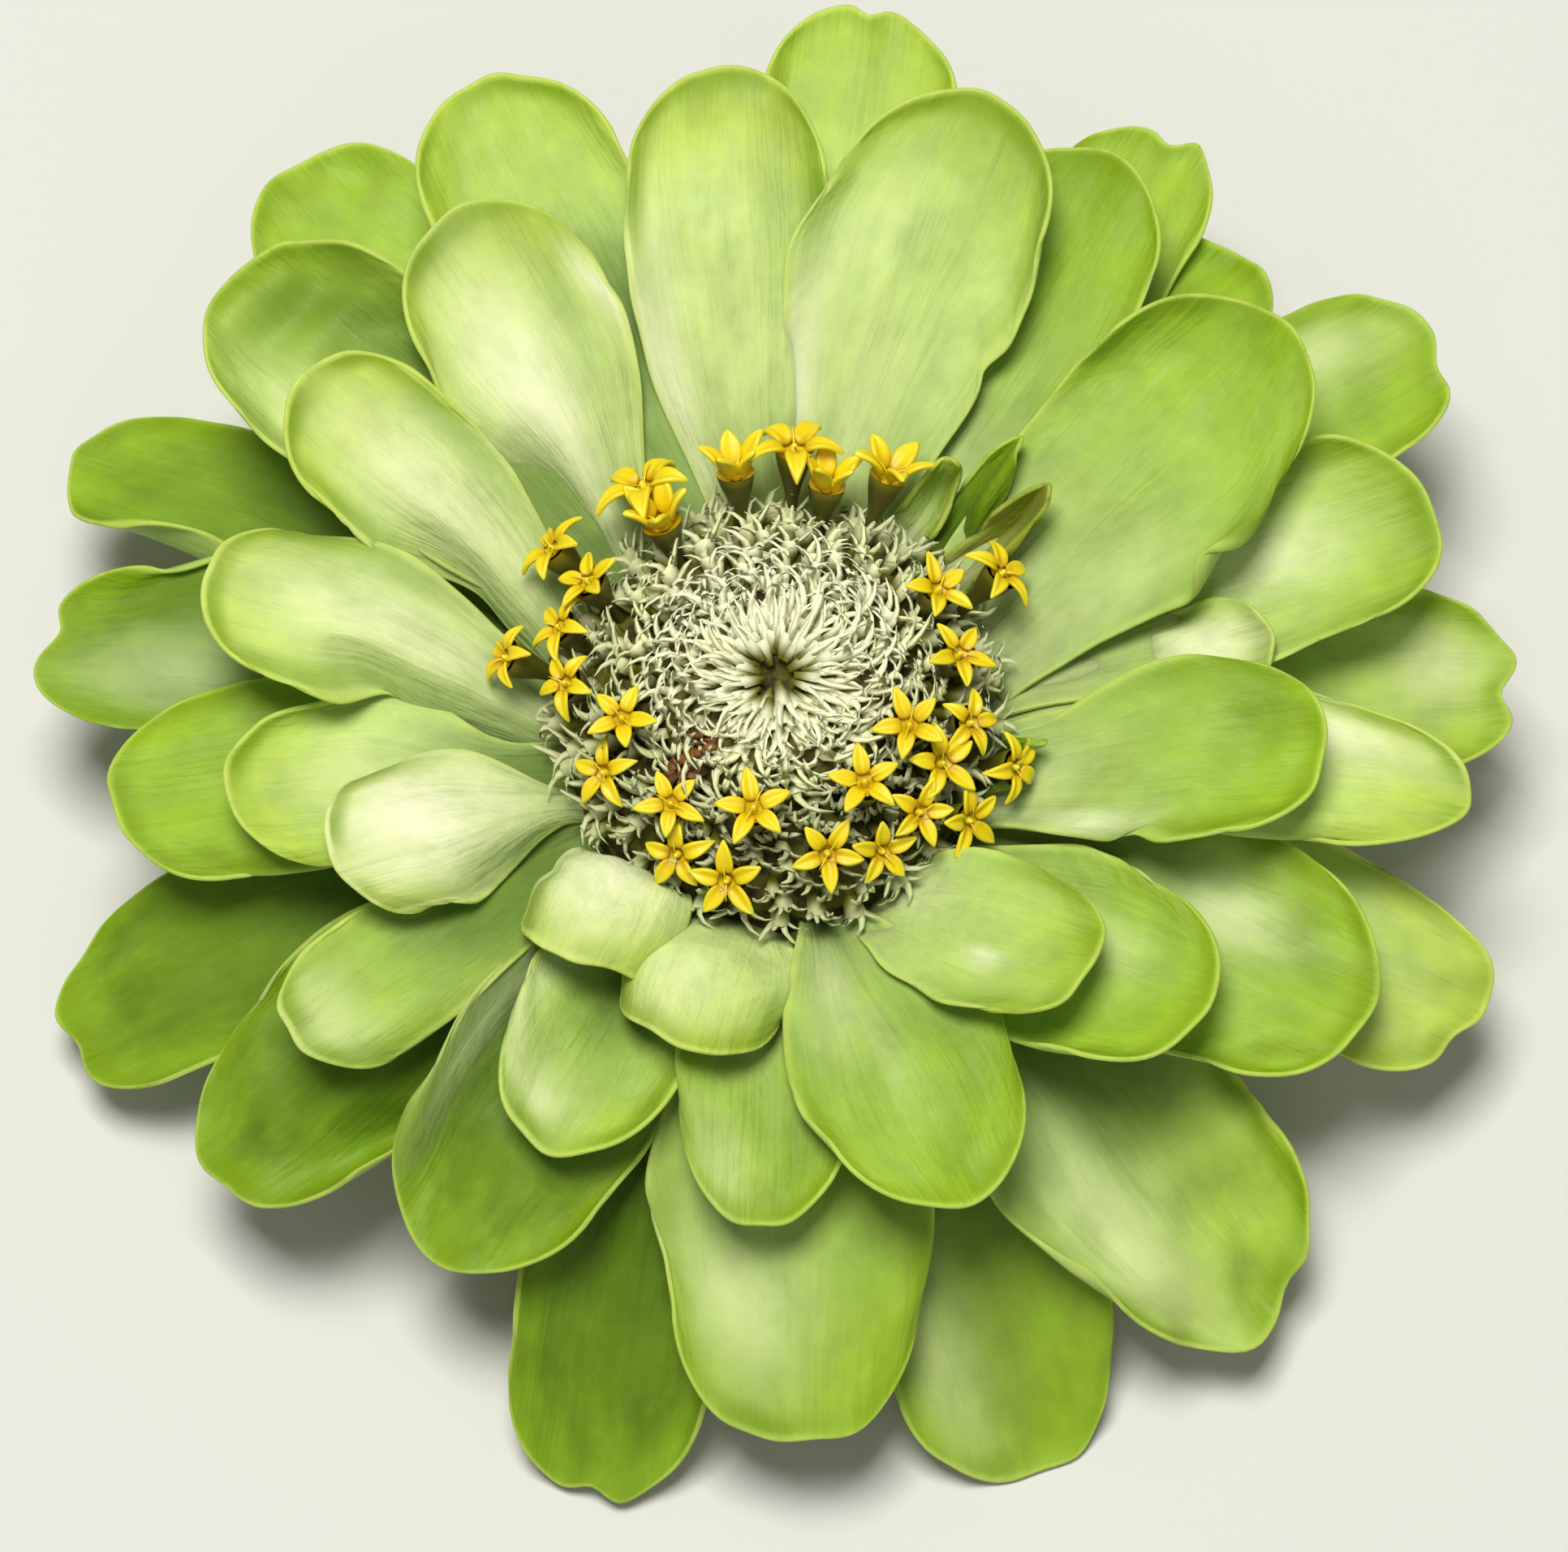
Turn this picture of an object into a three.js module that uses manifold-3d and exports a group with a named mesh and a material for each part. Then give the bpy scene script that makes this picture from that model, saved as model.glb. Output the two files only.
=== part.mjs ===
// A double zinnia bloom, cut from its plant with a short stub of stalk and lying face up.
// Millimetres, +Z up. The flower's axis is the model's Z axis until the last lines, which
// shift the whole bloom so that the origin is the middle of its underside.
import * as THREE from 'three';
import { mergeVertices } from 'three/addons/utils/BufferGeometryUtils.js';
import Module from 'manifold-3d';

const wasm = await Module();
wasm.setup();
const { Manifold, Mesh } = wasm;

// ---- driving dimensions ----

const SEAT_GAP = 0.3;            // between one piece and the piece that it sits on
const STUB_HEIGHT = 3;           // cut stub of the stalk, from the surface up
const STUB_RADIUS = 2.7;
const CUP_BOTTOM = STUB_HEIGHT + SEAT_GAP;
const CUP_TOP = 12.7;            // flat top of the involucre, where the receptacle sits
const CUP_RADIUS = 13.2;
const RIM_BOTTOM = CUP_TOP + SEAT_GAP;
const RIM_TOP = 18;              // rim of the receptacle, which the ray petals grow from
const RIM_RADIUS = 13.9;
const CONE_RADIUS = 7.4;         // chaff cone, in the middle of the receptacle
const CONE_SHOULDER = 24.4;
const CONE_TOP = 27.6;
const COLLAR_BOTTOM = RIM_TOP + SEAT_GAP;
const COLLAR_TOP = 24.6;         // collar round the cone's foot, which the disc florets stand on
const COLLAR_RADIUS = 13.4;
const COLLAR_FOOT_RADIUS = 10.6; // it narrows below, clear of the petals' roots
const RUNNING_GAP = 0.4;         // round the cone, inside the rim and the collar
const ROUND_SEGMENTS = 24;

// ---- ray petals: whorls from the innermost, highest one down to the oldest ----
// A petal's bearing is the direction of its tip, anticlockwise from +X. Its root's bearing is
// less by its lean. reach is from the axis to the tip, and tip is the tip's height above the
// surface. cup bends the edges of the blade's end up, or down where it is negative.

const PETAL_THICKNESS = 0.6;
const PETAL_ROWS = 4;
const PETAL_COLUMNS = 6;
const PETAL_CLAW = 0.36;         // width at the root, as a share of the full width
const PETAL_SHOULDER = 0.72;     // where along the petal its round end begins
const CLAW_CUP = 0.45;           // the root is a channel
const NOTCH_WIDTH = 0.2;         // of a notch in the tip, as a share of the half width

const WHORLS = [
  { radius: 12.5, height: 17.2, rise: 34, petals: [
    { bearing: 95, reach: 40, tip: 28, width: 13.2, lean: 1 },
    { bearing: 70.5, reach: 40, tip: 28, width: 14.2, lean: -6 },
    { bearing: 56, reach: 18.5, tip: 24, width: 3.4, lean: 4 },
    { bearing: 37, reach: 20.5, tip: 24.5, width: 3.4, lean: -2 },
    { bearing: 36.5, reach: 38.5, tip: 27, width: 14.5, lean: 12 },
    { bearing: 354, reach: 33.5, tip: 24, width: 12, lean: 11 },
    { bearing: 317, reach: 26.5, tip: 25, width: 10, lean: 20, cup: -0.25 },
    { bearing: 291, reach: 33.5, tip: 21, width: 13.5, lean: 7 },
    { bearing: 256, reach: 24.3, tip: 24, width: 10, lean: 0, cup: -0.25 },
    { bearing: 234, reach: 21, tip: 23, width: 9.5, lean: 8, cup: -0.3 },
    { bearing: 201, reach: 29, tip: 25, width: 9.5, lean: -2, cup: -0.35 },
    { bearing: 169, reach: 35.5, tip: 26, width: 11, lean: -13 },
    { bearing: 147, reach: 35, tip: 27, width: 10.5, lean: -14 },
    { bearing: 124, reach: 36.5, tip: 27, width: 12.7, lean: -7 },
  ] },
  { radius: 12.8, height: 16.7, rise: 22, petals: [
    { bearing: 115, reach: 45, tip: 23, width: 13.3, lean: 7 },
    { bearing: 59.5, reach: 41.5, tip: 23, width: 12.8, lean: 2 },
    { bearing: 17.5, reach: 42.5, tip: 21, width: 13, lean: 3 },
    { bearing: 6, reach: 30.5, tip: 24, width: 7.5, lean: 2, cup: -0.4 },
    { bearing: 352.5, reach: 43, tip: 19, width: 9.5, lean: 2 },
    { bearing: 323.5, reach: 32, tip: 22, width: 13, lean: 12 },
    { bearing: 268, reach: 32, tip: 18, width: 11, lean: -2 },
    { bearing: 243, reach: 31, tip: 19, width: 11.3, lean: 1 },
    { bearing: 216, reach: 36, tip: 19.5, width: 10, lean: 2 },
    { bearing: 189, reach: 34, tip: 21.5, width: 11, lean: -5 },
    { bearing: 141, reach: 44, tip: 23, width: 14, lean: -2 },
  ] },
  { radius: 13, height: 15.9, rise: 12, petals: [
    { bearing: 83, reach: 49, tip: 18, width: 12.8, lean: 0, notch: 0.8 },
    { bearing: 58, reach: 47.5, tip: 17, width: 12, lean: 0, notch: 1.2 },
    { bearing: 47, reach: 43.5, tip: 16, width: 11, lean: 0 },
    { bearing: 33, reach: 49.5, tip: 15, width: 12.5, lean: 0, notch: 0.8 },
    { bearing: 5.5, reach: 46.5, tip: 12, width: 12.5, lean: 0, notch: 1.4 },
    { bearing: 335, reach: 40.5, tip: 16, width: 14.5, lean: 9 },
    { bearing: 272, reach: 43, tip: 8, width: 16.8, lean: 0 },
    { bearing: 237.5, reach: 38.5, tip: 11, width: 13.8, lean: -3 },
    { bearing: 218, reach: 43.5, tip: 11, width: 13.5, lean: 0 },
    { bearing: 186, reach: 41, tip: 15, width: 11.7, lean: 0 },
    { bearing: 170, reach: 46.5, tip: 12, width: 11, lean: 0, notch: 1.2 },
    { bearing: 129, reach: 49.5, tip: 16, width: 13.5, lean: 0 },
  ] },
  { radius: 13.2, height: 15, rise: 2, petals: [
    { bearing: 154.5, reach: 49, tip: 10, width: 9, lean: 0 },
    { bearing: 199.5, reach: 47, tip: 4, width: 13, lean: 0, notch: 1 },
    { bearing: 255.5, reach: 45.8, tip: 0.3, width: 13.3, lean: 6, notch: 1.2 },
    { bearing: 290, reach: 45.3, tip: 0.3, width: 14, lean: 0, notch: 0.8 },
    { bearing: 311, reach: 46.3, tip: 5, width: 15.5, lean: 0, notch: 0.8 },
    { bearing: 341, reach: 46.5, tip: 4, width: 13, lean: 5, notch: 1 },
  ] },
  { radius: 13.2, height: 14.3, rise: -6, petals: [
    { bearing: 226, reach: 32, tip: 0.3, width: 11, lean: 0 },
    { bearing: 20, reach: 37, tip: 0.3, width: 11, lean: 0 },
    { bearing: 66, reach: 40, tip: 0.3, width: 11, lean: 0 },
    { bearing: 110, reach: 38, tip: 0.3, width: 11, lean: 0 },
    { bearing: 148, reach: 37, tip: 0.3, width: 11, lean: 0 },
  ] },
];

// ---- disc florets: reach and height are those of the middle of the star ----

const STAR_RADIUS = 2.4;
const STAR_WAIST = 0.95;         // radius between two lobes
const STAR_LOBES = 5;
const STAR_CROWN = 0.45;         // the star's middle, above and below the waist
const STAR_TIP = 0.3;            // the lobes' tips, above the waist
const STAR_TURN = 3;             // turns each star by so many times its bearing
const TUBE_RADIUS = 0.75;
const TUBE_FOOT_RADIUS = 0.5;
const FLORET_FOOT = { lowest: 9, highest: 11.6, height: 20.5, share: 0.8 };

const FLORETS = [
  { bearing: 100, reach: 15, height: 24 },
  { bearing: 86, reach: 16, height: 25 },
  { bearing: 77, reach: 14.6, height: 24 },
  { bearing: 64, reach: 16.5, height: 24 },
  { bearing: 32, reach: 11.6, height: 25 },
  { bearing: 29, reach: 15.7, height: 24 },
  { bearing: 9, reach: 11.2, height: 25.5 },
  { bearing: 348, reach: 12, height: 25 },
  { bearing: 343, reach: 15.1, height: 22.5 },
  { bearing: 337, reach: 8.7, height: 27 },
  { bearing: 333, reach: 11.2, height: 25 },
  { bearing: 326, reach: 14, height: 22.5 },
  { bearing: 317, reach: 11.8, height: 24.5 },
  { bearing: 307, reach: 8.8, height: 27 },
  { bearing: 302, reach: 12, height: 23.5 },
  { bearing: 286, reach: 11.1, height: 24.5 },
  { bearing: 261, reach: 8.8, height: 27 },
  { bearing: 256, reach: 12.4, height: 23.5 },
  { bearing: 240, reach: 12, height: 23.5 },
  { bearing: 231, reach: 10.1, height: 25.5 },
  { bearing: 207, reach: 11.7, height: 24 },
  { bearing: 196, reach: 9.7, height: 26.3 },
  { bearing: 178, reach: 12.8, height: 24 },
  { bearing: 172, reach: 16.6, height: 23.5 },
  { bearing: 162, reach: 13.9, height: 23.5 },
  { bearing: 149, reach: 13.4, height: 24.5 },
  { bearing: 146, reach: 16.5, height: 24 },
  { bearing: 121, reach: 14.4, height: 24.5 },
  { bearing: 118, reach: 16.6, height: 24 },
];

// ---- chaff bracts: rings of pointed tips that stand out of the cone and of the collar ----
// outward is the tip's lean from upright, and turn is the ring's first bearing.

const BRACT_SIDES = 4;
const CONE_BRACTS = [
  { count: 7, turn: 46, radius: 1.9, height: 26.7, length: 2.3, width: 1.7, outward: 62 },
  { count: 12, turn: 27, radius: 3.9, height: 26.1, length: 2.6, width: 2, outward: 68 },
  { count: 16, turn: 16, radius: 5.7, height: 25.2, length: 2.4, width: 2.2, outward: 58 },
];
const COLLAR_BRACTS = [
  { count: 16, turn: 9, radius: 9.4, height: 23.6, length: 2.8, width: 2.4, outward: 56 },
  { count: 22, turn: 10, radius: 11.6, height: 21.9, length: 3.2, width: 2.6, outward: 66 },
];

// ---- involucre: rows of overlapping scales on a cup ----

const SCALE_THICKNESS = 1.2;
const SCALE_ROWS = [
  { count: 8, turn: 36, radius: 6.8, height: 4.3, outward: 62, length: 5.6, width: 6.4 },
  { count: 10, turn: 4, radius: 10.1, height: 5.8, outward: 30, length: 5.2, width: 7 },
  { count: 12, turn: 0, radius: 12, height: 7.7, outward: 14, length: 4.9, width: 7.2 },
];

// ---- small helpers ----

const radians = THREE.MathUtils.degToRad;
const vector = (x, y, z) => new THREE.Vector3(x, y, z);

function polar(radius, bearing, height) {
  return vector(radius * Math.cos(radians(bearing)), radius * Math.sin(radians(bearing)), height);
}

// A closed mesh as a solid, with its shared corners merged and its flat triangles dropped.
function solidOf(geometry) {
  const bare = new THREE.BufferGeometry();
  bare.setAttribute('position', geometry.getAttribute('position'));
  bare.setIndex(geometry.getIndex());
  const merged = mergeVertices(bare, 1e-4);
  const corners = merged.getIndex().array;
  const kept = [];
  for (let i = 0; i < corners.length; i += 3) {
    const [a, b, c] = corners.slice(i, i + 3);
    if (a !== b && b !== c && c !== a) kept.push(a, b, c);
  }
  return new Manifold(new Mesh({
    numProp: 3,
    vertProperties: new Float32Array(merged.getAttribute('position').array),
    triVerts: new Uint32Array(kept),
  }));
}

// All solids fused. A scrap that hangs loose is dropped, and a pocket sealed inside is filled.
function fuse(solids) {
  const joined = solids.reduce((whole, solid) => whole.add(solid));
  return joined.decompose().reduce((largest, piece) => (
    piece.volume() > largest.volume() ? piece : largest));
}

function geometryOf(solid) {
  const mesh = solid.getMesh();
  const geometry = new THREE.BufferGeometry();
  geometry.setAttribute('position', new THREE.BufferAttribute(new Float32Array(mesh.vertProperties), 3));
  geometry.setIndex(new THREE.BufferAttribute(new Uint32Array(mesh.triVerts), 1));
  geometry.computeVertexNormals();
  return geometry;
}

// A round body about the Z axis from a profile of [radius, height], listed upwards on its outside.
function turned(profile, segments = ROUND_SEGMENTS) {
  const points = profile.map(([radius, height]) => new THREE.Vector2(radius, height));
  return new THREE.LatheGeometry(points, segments).rotateX(Math.PI / 2);
}

// Turns a geometry that stands on its local +Z so that it points along a direction, at a place.
function aim(geometry, place, direction) {
  const turn = new THREE.Quaternion().setFromUnitVectors(vector(0, 0, 1), direction.clone().normalize());
  return geometry.applyQuaternion(turn).translate(place.x, place.y, place.z);
}

// ---- ray petals ----

function petalSpine(petal, whorl) {
  const root = polar(whorl.radius, petal.bearing - petal.lean, whorl.height);
  const tip = polar(petal.reach, petal.bearing, petal.tip);
  const knee = root.clone().lerp(tip, 0.5);
  const run = Math.hypot(tip.x - root.x, tip.y - root.y) / 2;
  knee.z = root.z + Math.tan(radians(whorl.rise)) * run;
  return new THREE.QuadraticBezierCurve3(root, knee, tip);
}

// One point of the petal's middle surface, and the surface's normal there.
function petalPoint(petal, spine, row, column) {
  const along = row / PETAL_ROWS;
  const turn = Math.PI * (column / PETAL_COLUMNS - 0.5);
  const across = Math.sin(turn);
  const spread = PETAL_CLAW + (1 - PETAL_CLAW) * (1 - Math.cos(Math.PI * along)) / 2;
  const halfWidth = petal.width / 2 * spread;
  const cup = THREE.MathUtils.lerp(CLAW_CUP, petal.cup ?? 0, along);
  const notch = (petal.notch ?? 0) / spine.getLength() * Math.exp(-((across / NOTCH_WIDTH) ** 2));
  const t = along * (PETAL_SHOULDER + (1 - PETAL_SHOULDER) * Math.cos(turn)) - notch * along ** 6;
  const tangent = spine.getTangent(t);
  const side = vector(0, 0, 1).cross(tangent).normalize();
  const up = tangent.clone().cross(side);
  const point = spine.getPoint(t);
  point.addScaledVector(side, across * halfWidth);
  point.addScaledVector(up, cup * halfWidth * across ** 2);
  const normal = up.addScaledVector(side, -2 * cup * across).normalize();
  return { point, normal };
}

// A blade: two like faces, half a thickness either side of the middle surface, and its rim.
function petalBlade(petal, whorl) {
  const spine = petalSpine(petal, whorl);
  const positions = [];
  for (const side of [1, -1]) {
    for (let row = 0; row <= PETAL_ROWS; row += 1) {
      for (let column = 0; column <= PETAL_COLUMNS; column += 1) {
        const { point, normal } = petalPoint(petal, spine, row, column);
        positions.push(...point.addScaledVector(normal, side * PETAL_THICKNESS / 2).toArray());
      }
    }
  }
  const wide = PETAL_COLUMNS + 1;
  const under = wide * (PETAL_ROWS + 1);
  const faces = [];
  for (let row = 0; row < PETAL_ROWS; row += 1) {
    for (let column = 0; column < PETAL_COLUMNS; column += 1) {
      const a = row * wide + column;
      const [b, c, d] = [a + 1, a + wide + 1, a + wide];
      faces.push(a, c, b, a, d, c);
      faces.push(under + a, under + b, under + c, under + a, under + c, under + d);
    }
  }
  const edge = rimOf(PETAL_ROWS, PETAL_COLUMNS);
  edge.forEach((a, i) => {
    const b = edge[(i + 1) % edge.length];
    faces.push(a, b, under + b, a, under + b, under + a);
  });
  const geometry = new THREE.BufferGeometry();
  geometry.setAttribute('position', new THREE.Float32BufferAttribute(positions, 3));
  geometry.setIndex(faces);
  return geometry;
}

// The corners of a grid's edge in order: along the root, up one side, round the tip and back.
function rimOf(rows, columns) {
  const wide = columns + 1;
  const rim = [];
  for (let column = 0; column < columns; column += 1) rim.push(column);
  for (let row = 0; row < rows; row += 1) rim.push(row * wide + columns);
  for (let column = columns; column > 0; column -= 1) rim.push(rows * wide + column);
  for (let row = rows; row > 0; row -= 1) rim.push(row * wide);
  return rim;
}

function rayPetals() {
  const bore = CONE_RADIUS;
  const rim = solidOf(turned([
    [bore, RIM_BOTTOM],
    [RIM_RADIUS, RIM_BOTTOM],
    [RIM_RADIUS - 0.3, (RIM_BOTTOM + RIM_TOP) / 2],
    [RIM_RADIUS - 0.9, RIM_TOP],
    [bore, RIM_TOP],
    [bore, RIM_BOTTOM],
  ]));
  const blades = WHORLS.flatMap((whorl) => (
    whorl.petals.map((petal) => solidOf(petalBlade(petal, whorl)))));
  return fuse([rim, ...blades]);
}

// ---- chaff bracts, the cone and the collar with its florets ----

function bractRing({ count, turn, radius, height, length, width, outward }) {
  return Array.from({ length: count }, (_, i) => {
    const bearing = turn + 360 * i / count;
    const lean = radians(outward);
    const spike = new THREE.ConeGeometry(width / 2, length, BRACT_SIDES)
      .rotateX(Math.PI / 2).translate(0, 0, length / 2);
    return solidOf(aim(spike, polar(radius, bearing, height), polar(Math.sin(lean), bearing, Math.cos(lean))));
  });
}

function chaffCone() {
  const foot = CONE_RADIUS - RUNNING_GAP;
  const dome = CONE_TOP - CONE_SHOULDER;
  const shoulderArc = [90, 68, 45, 22].map((angle) => [
    CONE_RADIUS * Math.sin(radians(angle)),
    CONE_SHOULDER + dome * Math.cos(radians(angle)),
  ]);
  const core = solidOf(turned([
    [0, RIM_BOTTOM],
    [foot, RIM_BOTTOM],
    [foot, RIM_TOP],
    [CONE_RADIUS, COLLAR_BOTTOM],
    ...shoulderArc,
    [0, CONE_TOP - 0.2],
  ]));
  return fuse([core, ...CONE_BRACTS.flatMap(bractRing)]);
}

// A star of pointed lobes with a raised middle, on its local +Z.
function starGeometry() {
  const positions = [0, 0, STAR_CROWN, 0, 0, -STAR_CROWN];
  const corners = STAR_LOBES * 2;
  for (let i = 0; i < corners; i += 1) {
    const isLobe = i % 2 === 0;
    const corner = polar(isLobe ? STAR_RADIUS : STAR_WAIST, 360 * i / corners, isLobe ? STAR_TIP : 0);
    positions.push(...corner.toArray());
  }
  const faces = [];
  for (let i = 0; i < corners; i += 1) {
    const [a, b] = [2 + i, 2 + (i + 1) % corners];
    faces.push(0, a, b, 1, b, a);
  }
  const geometry = new THREE.BufferGeometry();
  geometry.setAttribute('position', new THREE.Float32BufferAttribute(positions, 3));
  geometry.setIndex(faces);
  return geometry;
}

function floret({ bearing, reach, height }) {
  const { lowest, highest, share } = FLORET_FOOT;
  const foot = polar(THREE.MathUtils.clamp(reach * share, lowest, highest), bearing, FLORET_FOOT.height);
  const head = polar(reach, bearing, height);
  const direction = head.clone().sub(foot);
  const length = direction.length();
  const tube = new THREE.CylinderGeometry(TUBE_RADIUS, TUBE_FOOT_RADIUS, length, STAR_LOBES)
    .rotateX(Math.PI / 2).translate(0, 0, length / 2);
  const star = starGeometry().rotateZ(radians(bearing * STAR_TURN));
  return [solidOf(aim(tube, foot, direction)), solidOf(aim(star, head, direction))];
}

function discFlorets() {
  const bore = CONE_RADIUS + RUNNING_GAP;
  const collar = solidOf(turned([
    [bore, COLLAR_BOTTOM],
    [COLLAR_FOOT_RADIUS, COLLAR_BOTTOM],
    [COLLAR_RADIUS, COLLAR_BOTTOM + 3],
    [COLLAR_RADIUS - 0.2, COLLAR_BOTTOM + 3.8],
    [10.8, COLLAR_TOP - 1],
    [8.6, COLLAR_TOP],
    [bore, COLLAR_TOP],
    [bore, COLLAR_BOTTOM],
  ]));
  return fuse([collar, ...COLLAR_BRACTS.flatMap(bractRing), ...FLORETS.flatMap(floret)]);
}

// ---- involucre and stub ----

// A flat scale with a round tip, lying in its local XY plane with its length along +Y.
function scaleGeometry(length, width) {
  const outline = new THREE.Shape();
  outline.moveTo(-width * 0.36, 0);
  outline.lineTo(width * 0.36, 0);
  outline.lineTo(width / 2, length * 0.55);
  outline.lineTo(width * 0.3, length * 0.88);
  outline.lineTo(0, length);
  outline.lineTo(-width * 0.3, length * 0.88);
  outline.lineTo(-width / 2, length * 0.55);
  return new THREE.ExtrudeGeometry(outline, { depth: SCALE_THICKNESS, bevelEnabled: false });
}

function scaleRow({ count, turn, radius, height, outward, length, width }) {
  return Array.from({ length: count }, (_, i) => {
    const bearing = turn + 360 * i / count;
    const geometry = scaleGeometry(length, width)
      .rotateX(radians(90 + outward))
      .rotateZ(radians(bearing + 90));
    const place = polar(radius, bearing, height);
    return solidOf(geometry.translate(place.x, place.y, place.z));
  });
}

function involucre() {
  const cup = solidOf(turned([
    [0, CUP_BOTTOM],
    [5, CUP_BOTTOM],
    [9.4, CUP_BOTTOM + 1.2],
    [12.2, CUP_BOTTOM + 3.8],
    [CUP_RADIUS, CUP_TOP],
    [0, CUP_TOP],
  ]));
  return fuse([cup, ...SCALE_ROWS.flatMap(scaleRow)]);
}

function stub() {
  return solidOf(turned([
    [0, 0],
    [STUB_RADIUS, 0],
    [STUB_RADIUS, STUB_HEIGHT - 1.2],
    [STUB_RADIUS + 0.5, STUB_HEIGHT],
    [0, STUB_HEIGHT],
  ], 16));
}

// ---- the bloom ----

function piece(name, solid, color, roughness) {
  const material = new THREE.MeshStandardMaterial({ color, roughness, metalness: 0 });
  const mesh = new THREE.Mesh(geometryOf(solid), material);
  mesh.name = name;
  return mesh;
}

const bloom = new THREE.Group();
bloom.add(
  piece('stem', stub(), 0x7f9a45, 0.7),
  piece('involucre', involucre(), 0x6f8a3a, 0.65),
  piece('ray_petals', rayPetals(), 0xb4d368, 0.55),
  piece('chaff_cone', chaffCone(), 0xdfe0b8, 0.8),
  piece('disc_florets', discFlorets(), 0xe6b31c, 0.6),
);

const extent = new THREE.Box3().setFromObject(bloom);
const middle = extent.getCenter(vector(0, 0, 0));
bloom.position.set(-middle.x, -middle.y, -extent.min.z);

export default bloom;
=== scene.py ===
# A green double zinnia bloom, cut with a short stub of stalk and lying face up.
import bpy
import math
import random
from mathutils import Matrix, Vector, noise


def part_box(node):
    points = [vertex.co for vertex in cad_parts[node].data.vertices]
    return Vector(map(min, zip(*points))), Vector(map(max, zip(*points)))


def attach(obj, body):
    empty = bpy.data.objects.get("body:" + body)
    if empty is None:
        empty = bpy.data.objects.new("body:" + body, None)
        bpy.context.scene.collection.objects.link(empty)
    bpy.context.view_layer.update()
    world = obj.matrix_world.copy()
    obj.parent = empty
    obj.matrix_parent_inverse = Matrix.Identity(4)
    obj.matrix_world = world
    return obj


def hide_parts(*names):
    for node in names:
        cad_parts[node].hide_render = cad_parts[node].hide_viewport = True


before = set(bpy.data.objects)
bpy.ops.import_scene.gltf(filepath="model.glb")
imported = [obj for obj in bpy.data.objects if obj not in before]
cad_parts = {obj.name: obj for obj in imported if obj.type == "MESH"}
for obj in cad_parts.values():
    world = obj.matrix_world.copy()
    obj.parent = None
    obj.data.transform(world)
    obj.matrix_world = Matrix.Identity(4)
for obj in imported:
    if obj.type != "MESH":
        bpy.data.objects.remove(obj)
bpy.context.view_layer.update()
mm = 0.001
stalkLow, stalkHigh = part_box("stem")
# the bloom's own axis, where it meets the surface
axisPoint = Vector(((stalkLow.x + stalkHigh.x) / 2, (stalkLow.y + stalkHigh.y) / 2, 0))
print("frame loaded, bloom axis at", axisPoint)


# small sums that every piece uses

def tint(red, green, blue):
    # a colour as a paint program shows it, 0 to 255, made linear
    steps = [value / 255 for value in (red, green, blue)]
    return [step / 12.92 if step < 0.04045 else ((step + 0.055) / 1.055) ** 2.4 for step in steps] + [1]


def clamp(value, low=0.0, high=1.0):
    return max(low, min(high, value))


def lerp(low, high, share):
    return low + (high - low) * share


def smooth(low, high, value):
    share = clamp((value - low) / (high - low))
    return share * share * (3 - 2 * share)


def hump(low, high, value):
    # 0 outside low to high, rising to 1 halfway
    return math.sin(math.pi * clamp((value - low) / (high - low))) ** 2


def bell(value):
    return math.exp(-value * value)


def polar(radius, bearing, height):
    angle = math.radians(bearing)
    return Vector((radius * math.cos(angle), radius * math.sin(angle), height))


def toBloom(point):
    # millimetres about the bloom's axis to metres in the frame
    return point * mm + axisPoint


def turned(degrees, axis="Z"):
    # axis is a letter or a direction
    return Matrix.Rotation(math.radians(degrees), 4, axis)


def grain(x, y, seed):
    return noise.noise(Vector((x, y, seed * 7.31 + 0.37)))


# mesh tools

def deselectAll():
    if bpy.context.object and bpy.context.object.mode != "OBJECT":
        bpy.ops.object.mode_set(mode="OBJECT")
    bpy.ops.object.select_all(action="DESELECT")


def choose(piece):
    deselectAll()
    piece.select_set(True)
    bpy.context.view_layer.objects.active = piece


def applyModifier(piece, kind, **settings):
    choose(piece)
    modifier = piece.modifiers.new(kind.title(), kind)
    for key, value in settings.items():
        setattr(modifier, key, value)
    bpy.ops.object.modifier_apply(modifier=modifier.name)


def roundOff(piece, levels=1):
    applyModifier(piece, "SUBSURF", levels=levels, render_levels=levels)
    bpy.ops.object.shade_smooth()


def closeSeams(piece, gap=0.00001):
    choose(piece)
    bpy.ops.object.mode_set(mode="EDIT")
    bpy.ops.mesh.select_all(action="SELECT")
    bpy.ops.mesh.remove_doubles(threshold=gap)
    bpy.ops.mesh.normals_make_consistent(inside=False)
    bpy.ops.object.mode_set(mode="OBJECT")


def joinPieces(name, parts):
    deselectAll()
    for part in parts:
        part.select_set(True)
    bpy.context.view_layer.objects.active = parts[0]
    bpy.ops.object.join()
    whole = bpy.context.object
    whole.name = name
    whole.data.name = name
    return whole


def copyPiece(template, matrix):
    copy = template.copy()
    copy.data = template.data.copy()
    copy.data.transform(matrix)
    bpy.context.collection.objects.link(copy)
    return copy


def wear(piece, *paints):
    piece.data.materials.clear()
    for paint in paints:
        piece.data.materials.append(paint)


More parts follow.
